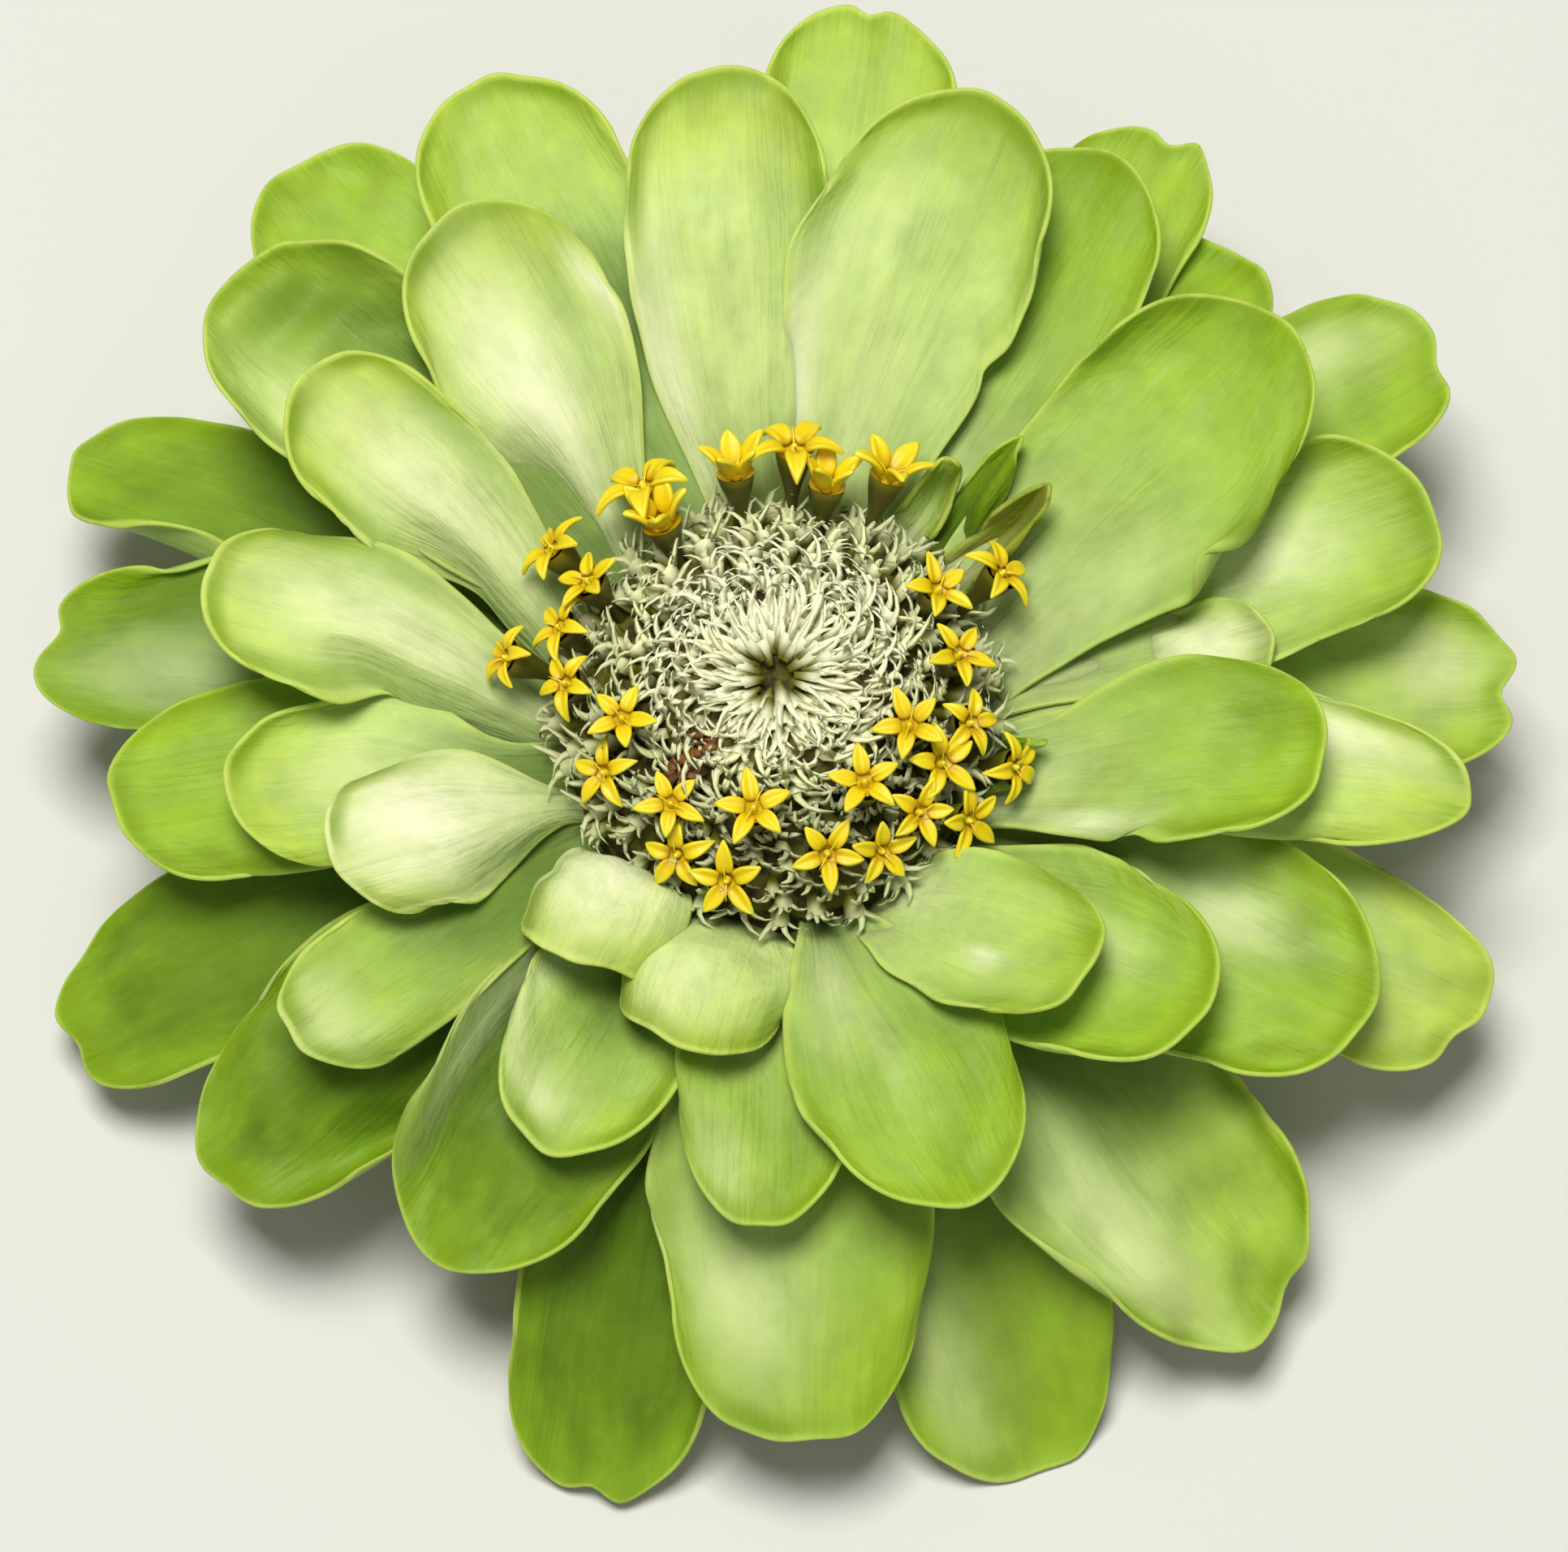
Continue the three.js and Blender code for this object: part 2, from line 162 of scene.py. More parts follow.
def shapedGrid(name, columns, rows, place, notes=None):
    # a flat grid whose points are moved to place(u, v), u across and v along, both 0 to 1
    deselectAll()
    bpy.ops.mesh.primitive_grid_add(x_subdivisions=columns, y_subdivisions=rows, size=1)
    piece = bpy.context.object
    piece.name = name
    spots = [(vertex.co.x + 0.5, vertex.co.y + 0.5) for vertex in piece.data.vertices]
    for label, rule in (notes or {}).items():
        layer = piece.data.attributes.new(label, "FLOAT_VECTOR", "POINT")
        for i, (u, v) in enumerate(spots):
            layer.data[i].vector = rule(u, v)
    for vertex, (u, v) in zip(piece.data.vertices, spots):
        vertex.co = place(u, v)
    return piece


def turnedPiece(name, profile, columns=48, bumps=0.0, ribs=0, ribShare=0.0):
    # a round body from a closed profile of (radius, height) in millimetres, lumpy or ribbed
    count = len(profile) - 1

    def place(u, v):
        spot = min(v * count, count - 0.0001)
        low = int(spot)
        around = u * math.tau
        radius = lerp(profile[low][0], profile[low + 1][0], spot - low)
        radius *= 1 + ribShare * math.cos(ribs * u * math.tau)
        height = lerp(profile[low][1], profile[low + 1][1], spot - low)
        spread = Vector((math.cos(around) * radius, math.sin(around) * radius, height))
        lump = bumps * noise.noise(spread * 0.9)
        grown = radius + (lump if radius > 0.01 else 0)
        return toBloom(polar(grown, 360 * (u % 1), height + lump * 0.3))

    piece = shapedGrid(name, columns, count * 3, place)
    closeSeams(piece)
    bpy.ops.object.shade_smooth()
    return piece


# camera, light and floor

cameraView = {
    "elevation": 70,  # degrees above the horizon
    "distance": 0.45,
    "lens": 167.7,
    "sensor": 36,
    "clip": 0.01,
    "aimHeight": 0.017,
    "aimRight": 0.00045,
    "aimDown": 0.0028,
}

studio = {
    "floor": tint(222, 222, 216),
    "floorSize": 3,
    "floorRoughness": 0.85,
    "world": tint(226, 228, 212),
    "worldStrength": 0.17,
    "key": {"place": (-0.08, 0.07, 0.82), "size": 0.3, "power": 6.8, "tint": (1.0, 0.99, 0.95)},
    "fill": {"place": (0.1, -0.5, 0.6), "size": 0.6, "power": 0.6, "tint": (1.0, 1.0, 0.98)},
}


def makeCamera():
    rise = math.radians(cameraView["elevation"])
    right = Vector((1, 0, 0))
    up = Vector((0, math.sin(rise), math.cos(rise)))
    back = Vector((0, -math.cos(rise), math.sin(rise)))
    aim = axisPoint + Vector((0, 0, cameraView["aimHeight"]))
    aim += right * cameraView["aimRight"] - up * cameraView["aimDown"]
    bpy.ops.object.camera_add(location=aim + back * cameraView["distance"])
    camera = bpy.context.object
    camera.name = "photoCamera"
    camera.rotation_euler = Matrix((right, up, back)).transposed().to_euler()
    camera.data.lens = cameraView["lens"]
    camera.data.sensor_width = cameraView["sensor"]
    camera.data.clip_start = cameraView["clip"]
    bpy.context.scene.camera = camera


def makeLight(name, plan):
    bpy.ops.object.light_add(type="AREA", location=plan["place"])
    lamp = bpy.context.object
    lamp.name = name
    lamp.data.size = plan["size"]
    lamp.data.energy = plan["power"]
    lamp.data.color = plan["tint"]
    lamp.rotation_euler = (-Vector(plan["place"])).to_track_quat("-Z", "Y").to_euler()


def makeWorld():
    world = bpy.data.worlds.new("softRoom")
    world.use_nodes = True
    background = world.node_tree.nodes["Background"]
    background.inputs["Color"].default_value = studio["world"]
    background.inputs["Strength"].default_value = studio["worldStrength"]
    bpy.context.scene.world = world
    bpy.context.scene.view_settings.view_transform = "Standard"


def makeFloor():
    deselectAll()
    bpy.ops.mesh.primitive_plane_add(size=studio["floorSize"])
    floor = bpy.context.object
    floor.name = "floor"
    paint = bpy.data.materials.new("paleFloor")
    paint.use_nodes = True
    shader = paint.node_tree.nodes["Principled BSDF"]
    shader.inputs["Base Color"].default_value = studio["floor"]
    shader.inputs["Roughness"].default_value = studio["floorRoughness"]
    floor.data.materials.append(paint)


makeCamera()
makeLight("keyLight", studio["key"])
makeLight("fillLight", studio["fill"])
makeWorld()
makeFloor()
print("camera, light and floor done")


# material tools

class Board:
    # a node tree with short ways to add and join nodes
    def __init__(self, tree):
        self.tree = tree
        self.count = 0

    def add(self, kind, settings=None, **inputs):
        node = self.tree.nodes.new(kind)
        node.location = (200 * (self.count % 8), -240 * (self.count // 8))
        self.count += 1
        for key, value in (settings or {}).items():
            setattr(node, key, value)
        for key, value in inputs.items():
            self.feed(node, key, value)
        return node

    def feed(self, node, key, value):
        # key is a socket's name, or i and its number
        numbered = key[0] == "i" and key[1:].isdigit()
        socket = node.inputs[int(key[1:])] if numbered else node.inputs[key.replace("_", " ")]
        if isinstance(value, bpy.types.NodeSocket):
            self.tree.links.new(value, socket)
        else:
            socket.default_value = value

    def math(self, operation, first, second=0.0):
        return self.add("ShaderNodeMath", {"operation": operation}, i0=first, i1=second).outputs[0]

    def times(self, first, second):
        return self.math("MULTIPLY", first, second)

    def plus(self, first, second):
        return self.math("ADD", first, second)

    def swing(self, value, amount):
        # noise of 0 to 1, centred on 0 and made larger or smaller
        return self.times(self.math("SUBTRACT", value, 0.5), amount)

    def remap(self, value, low, high, newLow=0.0, newHigh=1.0):
        node = self.add("ShaderNodeMapRange", {"interpolation_type": "SMOOTHSTEP"}, Value=value)
        for key, number in (("From Min", low), ("From Max", high), ("To Min", newLow), ("To Max", newHigh)):
            node.inputs[key].default_value = number
        return node.outputs[0]

    def mix(self, share, first, second):
        node = self.add("ShaderNodeMix", {"data_type": "RGBA"}, i0=share, i6=first, i7=second)
        return node.outputs[2]

    def noise(self, vector, scale, detail=2.0, rough=0.5):
        node = self.add("ShaderNodeTexNoise", None, Vector=vector, Scale=scale, Detail=detail)
        node.inputs["Roughness"].default_value = rough
        return node.outputs["Fac"]

    def ramp(self, value, stops):
        node = self.add("ShaderNodeValToRGB", None, Fac=value)
        ramp = node.color_ramp
        while len(ramp.elements) < len(stops):
            ramp.elements.new(0.5)
        for element, (place, colour) in zip(ramp.elements, stops):
            element.position = place
            element.color = colour
        return node.outputs["Color"]

    def attribute(self, name):
        # the three numbers that a mesh holds under that name, as one vector
        return self.add("ShaderNodeAttribute", {"attribute_name": name}).outputs["Vector"]

    def here(self):
        return self.add("ShaderNodeTexCoord").outputs["Object"]

    def scale(self, colour, factor):
        node = self.add("ShaderNodeVectorMath", {"operation": "SCALE"}, i0=colour, Scale=factor)
        return node.outputs[0]

    def split(self, vector):
        return self.add("ShaderNodeSeparateXYZ", None, Vector=vector).outputs

    def merge(self, x, y, z):
        return self.add("ShaderNodeCombineXYZ", None, X=x, Y=y, Z=z).outputs[0]

    def veins(self, place, seed, count):
        settings = {"node_tree": veinGroup}
        return self.add("ShaderNodeGroup", settings, Place=place, Seed=seed, Count=count).outputs

    def bump(self, shader, height, strength, distance):
        node = self.add("ShaderNodeBump", None, Height=height, Strength=strength, Distance=distance)
        self.feed(shader, "Normal", node.outputs["Normal"])


def newMaterial(name, **constants):
    material = bpy.data.materials.new(name)
    material.use_nodes = True
    shader = material.node_tree.nodes["Principled BSDF"]
    for key, value in constants.items():
        shader.inputs[key.replace("_", " ")].default_value = value
    return material, Board(material.node_tree), shader


def makeVeinGroup():
    # lengthwise veins of a petal or a scale: Place is (along, across, millimetres from the edge)
    tree = bpy.data.node_groups.new("petalVeins", "ShaderNodeTree")
    tree.interface.new_socket(name="Place", in_out="INPUT", socket_type="NodeSocketVector")
    for name in ("Seed", "Count"):
        tree.interface.new_socket(name=name, in_out="INPUT", socket_type="NodeSocketFloat")
    for name in ("Streaks", "Fine", "Blotches"):
        tree.interface.new_socket(name=name, in_out="OUTPUT", socket_type="NodeSocketFloat")
    board = Board(tree)
    given = board.add("NodeGroupInput").outputs
    seed = given["Seed"]
    along, across = board.split(given["Place"])[:2]
    drift = board.noise(board.merge(along, across, seed), 2.2, 1.0)
    wide = board.times(board.plus(across, board.swing(drift, 0.22)), given["Count"])
    streakPlace = board.merge(wide, board.times(along, 1.3), seed)
    finePlace = board.merge(board.times(wide, 3.1), board.times(along, 3.5), seed)
    blotchPlace = board.merge(board.times(across, 1.4), board.times(along, 3.2), seed)
    board.add(
        "NodeGroupOutput", None,
        Streaks=board.noise(streakPlace, 1.0, 1.5),
        Fine=board.noise(finePlace, 1.0, 2.0, 0.6),
        Blotches=board.noise(blotchPlace, 1.6, 3.0, 0.6))
    return tree


veinGroup = makeVeinGroup()


# ray petals

petalPaint = {
    "young": [
        (0.0, tint(188, 208, 130)), (0.3, tint(200, 222, 142)),
        (0.66, tint(204, 227, 138)), (0.95, tint(186, 208, 90))],
    "grown": [
        (0.0, tint(172, 192, 122)), (0.3, tint(160, 188, 92)),
        (0.66, tint(154, 187, 66)), (0.95, tint(150, 182, 44))],
    # old petals: deep green, darkest at the root; the dark root is partly their own tone and partly painted
    # shade under the rings above
    "old": [
        (0.1, tint(56, 76, 0)), (0.45, tint(76, 106, 2)),
        (0.8, tint(94, 128, 14)), (1.0, tint(128, 162, 32))],
    # the colour of painted shade
    "shade": tint(76, 108, 2),
    # rim: painted highlight, the pale line where the thin edge catches the light
    "rim": tint(206, 224, 112),
    # inner: painted shade, the darker line inside the upturned rim
    "inner": tint(124, 152, 8),  # the darker line inside the rim
    # pale: the colour of painted highlights, partly the paler tone of young petals
    "pale": tint(250, 255, 214),
    "under": tint(180, 202, 120),
    "brown": tint(138, 106, 44),
    "veins": 7.0,
    "driftLength": 0.4,  # how far blotches push the colours along the petal
    "fineVeins": 0.13,
    "streaks": 0.2,
    "blotches": 0.6,
    "specks": 0.35,
    "bump": 0.5,
    "bumpDepth": 0.0004,
}


def makePetalMaterial(name, paint, underside=False):
    material, board, shader = newMaterial(
        name, Roughness=0.5, Subsurface_Weight=0.3, Subsurface_Radius=(0.7, 1.0, 0.15),
        Subsurface_Scale=0.0012, Specular_IOR_Level=0.2, Sheen_Weight=0.02, Sheen_Roughness=0.45)
    place = board.attribute("petalPlace")
    along, across, edge = board.split(place)
    seed, age, wilt = board.split(board.attribute("petalKind"))
    # masks of painted shade, painted highlight and the painted shade inside the rim
    dark, paleness, rimShadeStrength = board.split(board.attribute("petalShadeHighlightTone"))
    veins = board.veins(place, seed, paint["veins"])
    fine, streaks, blotches = veins["Fine"], veins["Streaks"], veins["Blotches"]
    mottle = board.noise(board.here(), 420.0, 3.0, 0.6)

    reach = board.plus(along, board.swing(blotches, paint["driftLength"]))
    young, grown, old = [board.ramp(reach, paint[key]) for key in ("young", "grown", "old")]
    half = board.mix(board.remap(age, 0.0, 0.5), young, grown)
    # the old petals' ramp, whose dark root is partly painted shade
    whole = board.mix(board.remap(age, 0.5, 1.0), half, old)
    # painted shade: mixes towards the shade colour by the dark mask
    colour = board.mix(board.times(dark, 0.75), whole, paint["shade"])

    lengthwise = board.plus(board.swing(fine, paint["fineVeins"]), board.swing(streaks, paint["streaks"]))
    lengthwise = board.times(lengthwise, board.remap(along, 0.1, 0.95, 1.0, 0.4))
    light = board.plus(lengthwise, board.swing(blotches, paint["blotches"]))
    light = board.plus(light, board.plus(board.swing(mottle, paint["specks"]), 1.0))
    colour = board.scale(colour, light)

    # painted highlight: paler where the patches say, partly paler tone
    paleShare = board.times(paleness, board.remap(blotches, 0.3, 0.6, 0.6, 0.95))
    colour = board.mix(paleShare, colour, paint["pale"])
    # painted shade: a darker band just inside the rim, where the upturned rim would shade the blade
    rimShadeShare = board.times(board.remap(edge, 0.2, 0.5), board.remap(edge, 0.6, 2.2, 0.8, 0.0))
    colour = board.mix(board.times(rimShadeShare, rimShadeStrength), colour, paint["inner"])
    # painted highlight along the edge, broken by the specks
    rimHighlightShare = board.times(board.remap(edge, 0.03, 0.28, 0.5, 0.0), board.remap(mottle, 0.3, 0.55, 0.5, 1.0))
    colour = board.mix(rimHighlightShare, colour, paint["rim"])
    if underside:
        colour = board.mix(0.5, colour, paint["under"])
    colour = board.mix(board.times(wilt, 0.85), colour, paint["brown"])
    board.feed(shader, "Base Color", colour)
    board.feed(shader, "Roughness", board.remap(fine, 0.3, 0.7, 0.46, 0.62))

    height = board.plus(board.times(streaks, 0.7), board.times(fine, 0.4))
    height = board.plus(height, board.times(blotches, 1.6))
    height = board.plus(height, board.times(mottle, 0.5))
    board.bump(shader, height, paint["bump"], paint["bumpDepth"])
    return material


petalMake = {
    "thickness": 0.32,
    "columns": 20,
    "rows": 26,
    "clearance": 0.35,  # above the surface that it lies on
    "claw": 0.4,  # width at the root, as a share of the full width
    "flare": -0.08,  # where it starts to widen
    "roundness": 1.05,  # how deep the round end is, as a share of half the width
    "clawCup": 0.3,
    "cup": 0,
    "bow": 0,
    "arch": 0,
    "twist": 0,
    "wilt": 0,
    "notch": 0,
    "notchAt": 0,
    "notchWidth": 0.2,
    "ragged": 0.5,
    "wobble": 0.055,
    "fineWobble": 0.03,
    "crinkle": 0.65,
    "pucker": 0.4,
    "ruffle": 0.38,
    "pleat": 0.1,
    "spoon": 0.7,  # the rim of the blade turns up by this much
    "spoonWidth": 1.3,
    "bites": (),  # side, place along, half length, depth taken off the width
    "rolls": (),  # side, where it starts across, degrees, from and to along the petal
    "folds": (),  # the same, but sharp
    "ridges": (),  # across, half width, height, from and to along the petal
    # patches paint highlights (paler) and shade (darker) onto a petal, with some of its own tone
    "patches": (),  # across, along, half width, half length, paler above 0 and darker below
}


def ray(bearing, reach, tip, width, lean=0, **own):
    # bearing, reach and height of its tip, its width, and the lean of its root in degrees, then what
    # is its own. Across runs from -1, its clockwise edge seen from above, to 1.
    return {**petalMake, "bearing": bearing, "reach": reach, "tip": tip, "width": width, "lean": lean, **own}


# rings of petals from the top down; those up to 3 mm wide are narrow blades beside the disc
# a ring's shade is painted shade on its petals' roots, stronger on the lower rings under the others
whorls = [
    {"name": "petals_inner", "radius": 12.5, "height": 17.2, "rise": 34, "age": 0.1, "shade": 0.0,
     "petals": [
        ray(95, 40, 27.7, 13.4, 1, age=0.08, claw=0.36, cup=-0.34, clawCup=-0.32, bow=0.5, spoon=0.9,
            patches=[(0.85, 0.45, 0.25, 0.35, 0.6), (-0.8, 0.65, 0.35, 0.25, -0.4),
                     (0.1, 0.95, 0.6, 0.08, -0.45), (0, 0.12, 0.9, 0.14, -0.35)]),
        ray(70.5, 40, 27.6, 14.6, -6, age=0.22, claw=0.42, clawCup=-0.15, bow=0.4, spoon=1.1,
            bites=[(-1, 0.58, 0.05, 0.8)],
            patches=[(0.9, 0.3, 0.25, 0.35, 0.6), (0.1, 0.25, 0.4, 0.25, 0.15),
                     (-0.1, 0.94, 0.8, 0.1, -0.4), (0.4, 0.7, 0.3, 0.2, 0.15)]),
        ray(54, 18.8, 25, 2.7, -4, age=0.3, claw=0.8, roundness=3.4, cup=0.35, clawCup=0.5, twist=25,
            wilt=0.1, spoon=0.1, patches=[(0, 0.3, 0.6, 0.3, 0.5)]),
        ray(47, 22, 25.2, 2.8, age=0.9, claw=0.8, roundness=3.4, cup=0.3, clawCup=0.4, spoon=0.1),
        ray(36, 20.5, 27, 3.0, -6, age=0.6, claw=0.8, roundness=3.0, cup=0.35, clawCup=0.5, wilt=0.45,
            spoon=0.1, patches=[(0.6, 0.6, 0.4, 0.3, -0.6), (-0.4, 0.4, 0.4, 0.3, 0.4)]),
        ray(350, 16.8, 22.4, 1.6, age=1.0, claw=0.9, roundness=3.4),
        ray(345, 15.6, 22.2, 1.4, 4, age=0.5, claw=0.9, roundness=3.0, wilt=0.4),
        ray(36.5, 38.5, 26.9, 15, 12, age=0.44, claw=0.62, clawCup=0.1, bow=-0.6, spoon=1.0,
            bites=[(-1, 0.68, 0.15, -1.5)], rolls=[(-1, 0.64, 125, 0.55, 0.82)],
            ridges=[(0.1, 0.3, 0.6, 0.1, 0.9), (-0.5, 0.2, -0.5, 0.5, 0.95)],
            patches=[(0.3, 0.2, 0.7, 0.2, 0.2), (-0.7, 0.35, 0.35, 0.25, 0.2),
                     (-0.9, 0.72, 0.2, 0.12, -0.5), (0.2, 0.95, 0.8, 0.07, -0.4)]),
        ray(354, 33.5, 24, 12.2, 11, age=0.46, claw=0.5, spoon=1.0,
            bites=[(1, 0.3, 0.25, 1.8), (-1, 0.62, 0.06, 0.7)], ridges=[(-0.85, 0.2, 0.9, 0.15, 0.6)],
            patches=[(0, 0.15, 0.9, 0.2, 0.25), (0.6, 0.88, 0.5, 0.12, -0.5),
                     (-0.85, 0.42, 0.15, 0.15, 0.6)]),
        ray(317, 26.5, 25, 10, 20, age=0.28, claw=0.5, cup=-0.12, clawCup=0.1, bow=-0.6, arch=1.8,
            spoon=0.8,
            patches=[(-0.35, 0.62, 0.1, 0.07, 0.9), (0.3, 0.2, 0.5, 0.2, 0.3),
                     (0.3, 0.9, 0.5, 0.1, -0.25)]),
        ray(291, 33.5, 21, 13.7, 7, age=0.55, claw=0.2, cup=-0.15, clawCup=0.5, bow=-0.4,
            ridges=[(-0.1, 0.25, 0.5, 0.25, 0.85)],
            patches=[(-0.3, 0.0, 0.7, 0.15, -1.2), (-0.5, 0.28, 0.3, 0.2, 0.3),
                     (-0.1, 0.55, 0.15, 0.2, 0.15), (0.6, 0.6, 0.3, 0.25, -0.35)]),
        ray(256, 23.6, 23.4, 10.6, -2, age=0.12, claw=0.62, roundness=1.1, cup=-0.34, clawCup=-0.2,
            arch=2.0, spoon=0.3, pleat=0.16,
            patches=[(-0.4, 0.7, 0.5, 0.3, 0.35), (0.1, 0.1, 0.7, 0.15, -0.4)]),
        ray(235, 21.2, 24.4, 9.3, 8, age=0.0, claw=0.62, roundness=1.1, cup=-0.42, clawCup=-0.3, arch=3.0,
            spoon=0.2, bites=[(-1, 0.62, 0.08, 0.4)], patches=[(-0.2, 0.5, 0.8, 0.4, 0.8)]),
        ray(201, 29, 24.4, 10.4, -2, age=0.0, claw=0.22, roundness=1.0, flare=0.1, cup=-0.42, clawCup=-0.4,
            arch=1.4, spoon=0.2, rolls=[(1, 0.5, -60, -0.2, 0.9)],
            patches=[(-0.1, 0.7, 0.9, 0.4, 0.9), (0.9, 0.35, 0.3, 0.25, -0.6)]),
        ray(169, 35.5, 26, 11.2, -13, age=0.12, claw=0.42, flare=0.0, cup=-0.22, clawCup=-0.3, bow=-0.6,
            bites=[(1, 0.55, 0.13, 1.8)], folds=[(1, 0.3, -45, -0.1, 0.8)],
            ridges=[(0.1, 0.4, 0.6, 0.05, 0.95)],
            patches=[(-0.1, 0.5, 0.5, 0.4, 0.5), (0.85, 0.4, 0.3, 0.3, -0.4), (-0.8, 0.7, 0.4, 0.3, -0.35),
                     (0, 0.0, 1.0, 0.15, -0.6)]),
        ray(147, 35, 27, 10.8, -14, age=0.08, claw=0.38, flare=0.06, cup=-0.24, clawCup=-0.3, bow=-0.8,
            bites=[(1, 0.4, 0.14, 1.2)], folds=[(1, 0.35, -45, -0.1, 0.72)],
            ridges=[(0.15, 0.4, 0.6, 0.05, 0.95)],
            patches=[(0.0, 0.55, 0.5, 0.35, 0.5), (0.85, 0.3, 0.35, 0.25, -0.5),
                     (-0.8, 0.5, 0.3, 0.3, -0.3)]),
        ray(124, 36.5, 27, 13, -7, age=0.08, claw=0.3, flare=0.12, cup=-0.28, clawCup=-0.3, bow=-0.6,
            spoon=0.8, folds=[(1, 0.4, -55, -0.1, 0.55)], ridges=[(0.05, 0.4, 0.55, 0.05, 0.95)],
            patches=[(0.25, 0.5, 0.45, 0.35, 0.7), (-0.9, 0.78, 0.14, 0.1, 0.9),
                     (-0.55, 0.7, 0.2, 0.25, -0.5), (0.9, 0.25, 0.3, 0.2, -0.5),
                     (0.2, 0.96, 0.6, 0.06, -0.6), (0, 0.05, 1.0, 0.12, -0.4)]),
    ]},
    {"name": "petals_second", "radius": 12.8, "height": 16.7, "rise": 22, "age": 0.3, "shade": 0.4,
     "petals": [
        ray(115, 45, 23, 13.5, 7, age=0.22, shade=0.8, bow=0.5, spoon=0.9, pucker=0.5,
            patches=[(-0.3, 0.5, 0.6, 0.2, -0.7)]),
        ray(59.5, 41.5, 23, 12.8, 2, age=0.58, shade=0.0, claw=0.5, spoon=1.0,
            patches=[(0, 0.2, 0.8, 0.2, 0.2), (0.2, 0.95, 0.8, 0.08, -0.5)]),
        ray(17.5, 42.5, 21, 13.2, 3, age=0.28, shade=0.2, cup=0.12, spoon=1.0,
            patches=[(0.1, 0.6, 0.4, 0.2, 0.6), (0, 0.95, 0.9, 0.08, -0.4)]),
        ray(6, 30.5, 24, 7.8, 2, age=0.1, cup=-0.4, pucker=1.1, ruffle=0.6,
            patches=[(0.2, 0.78, 0.6, 0.2, 0.75), (0, 0.97, 0.9, 0.06, -0.7)]),
        ray(352.5, 42.6, 19, 9.8, 2, age=0.15, roundness=1.8, bow=0.8, pleat=0.2,
            patches=[(0.5, 0.65, 0.4, 0.25, 0.8), (0, 0.97, 0.6, 0.06, -0.3)]),
        ray(322.6, 33, 22, 13.2, 12, age=0.48, roundness=1.0, bow=-0.5, spoon=0.9, wobble=0.02,
            patches=[(0.2, 0.6, 0.3, 0.2, 0.3)]),
        ray(268, 32.2, 18, 11, -2, age=0.44, claw=0.6, roundness=1.3,
            patches=[(-0.4, 0.25, 0.4, 0.2, 0.4), (0.5, 0.1, 0.7, 0.16, -1.2), (0.5, 0.75, 0.4, 0.2, -0.6),
                     (-0.5, 0.85, 0.4, 0.15, 0.3)]),
        ray(243, 31, 19, 11.6, 1, age=0.36, roundness=1.25, cup=0.1,
            patches=[(0.1, 0.4, 0.6, 0.25, -0.9), (-0.4, 0.88, 0.6, 0.12, 0.45),
                     (-0.9, 0.6, 0.2, 0.3, 0.4)]),
        ray(216, 36, 19.5, 9.4, 2, age=0.36, shade=0.9, roundness=0.95, cup=-0.1,
            bites=[(-1, 0.5, 0.08, 0.9)],
            patches=[(0, 0.92, 0.8, 0.12, 0.4), (-0.2, 0.4, 0.9, 0.25, -0.7)]),
        ray(189, 34, 21.5, 11.2, -5, age=0.2, cup=-0.1, wobble=0.08, bites=[(-1, 0.3, 0.2, 1.6)],
            patches=[(0, 0.6, 0.6, 0.2, 0.25), (0.2, 0.1, 1.2, 0.25, -0.9)]),
        ray(141, 44, 23, 14.2, -2, age=0.3, shade=1.0, cup=0.12, spoon=1.0, pucker=1.3,
            patches=[(-0.5, 0.62, 0.45, 0.2, -0.9), (-0.4, 0.86, 0.6, 0.12, -0.7),
                     (0.6, 0.6, 0.4, 0.3, 0.5)]),
    ]},
    {"name": "petals_third", "radius": 13, "height": 15.9, "rise": 12, "age": 0.4, "shade": 0.6,
     "petals": [
        ray(83, 49, 18, 13.4, age=0.2, notch=1.3, notchWidth=0.1, ragged=0.9),
        ray(58, 47.5, 17, 12, age=0.35, notch=1.9, notchAt=-0.1, notchWidth=0.14, ragged=1.3, ruffle=1.0),
        ray(47, 43.5, 16, 11, age=0.6, ragged=0.8),
        ray(33, 49.5, 15, 12.5, age=0.4, notch=0.8, notchAt=-0.3, ragged=1.0, pucker=0.7, ruffle=0.7,
            patches=[(0.4, 0.8, 0.4, 0.15, 0.4)]),
        ray(5.5, 46.5, 13, 12.8, age=0.3, notch=1.5, notchAt=-0.15, pucker=0.9, ruffle=0.6,
            patches=[(0.2, 0.85, 0.5, 0.1, 0.5)]),
        ray(333.6, 40.5, 16, 15.6, 9, age=0.42, spoon=0.9, wobble=0.025, pucker=1.0, ruffle=0.5,
            patches=[(0.3, 0.65, 0.3, 0.15, 0.5), (0.2, 0.85, 0.3, 0.08, -0.5)]),
        ray(272, 43, 8, 16.9, age=0.45, shade=0.7, roundness=0.95, cup=-0.12, notch=0.8, notchWidth=0.35,
            ragged=0.6, ridges=[(0.28, 0.08, -0.5, 0.2, 0.9), (0.05, 0.1, -0.3, 0.2, 0.8)],
            patches=[(0.7, 0.45, 0.4, 0.2, -0.6), (-0.4, 0.75, 0.5, 0.2, 0.4)]),
        ray(237.5, 38.5, 12, 14.6, -3, age=0.84, shade=1.0, folds=[(-1, 0.5, 45, 0.2, 1.15)],
            patches=[(-0.85, 0.6, 0.2, 0.35, 0.3), (0.1, 0.45, 0.8, 0.2, -0.5)]),
        ray(218, 43.5, 10, 13.8, age=0.86, shade=1.0, pucker=0.6, folds=[(1, 0.3, -42, 0.1, 1.0)],
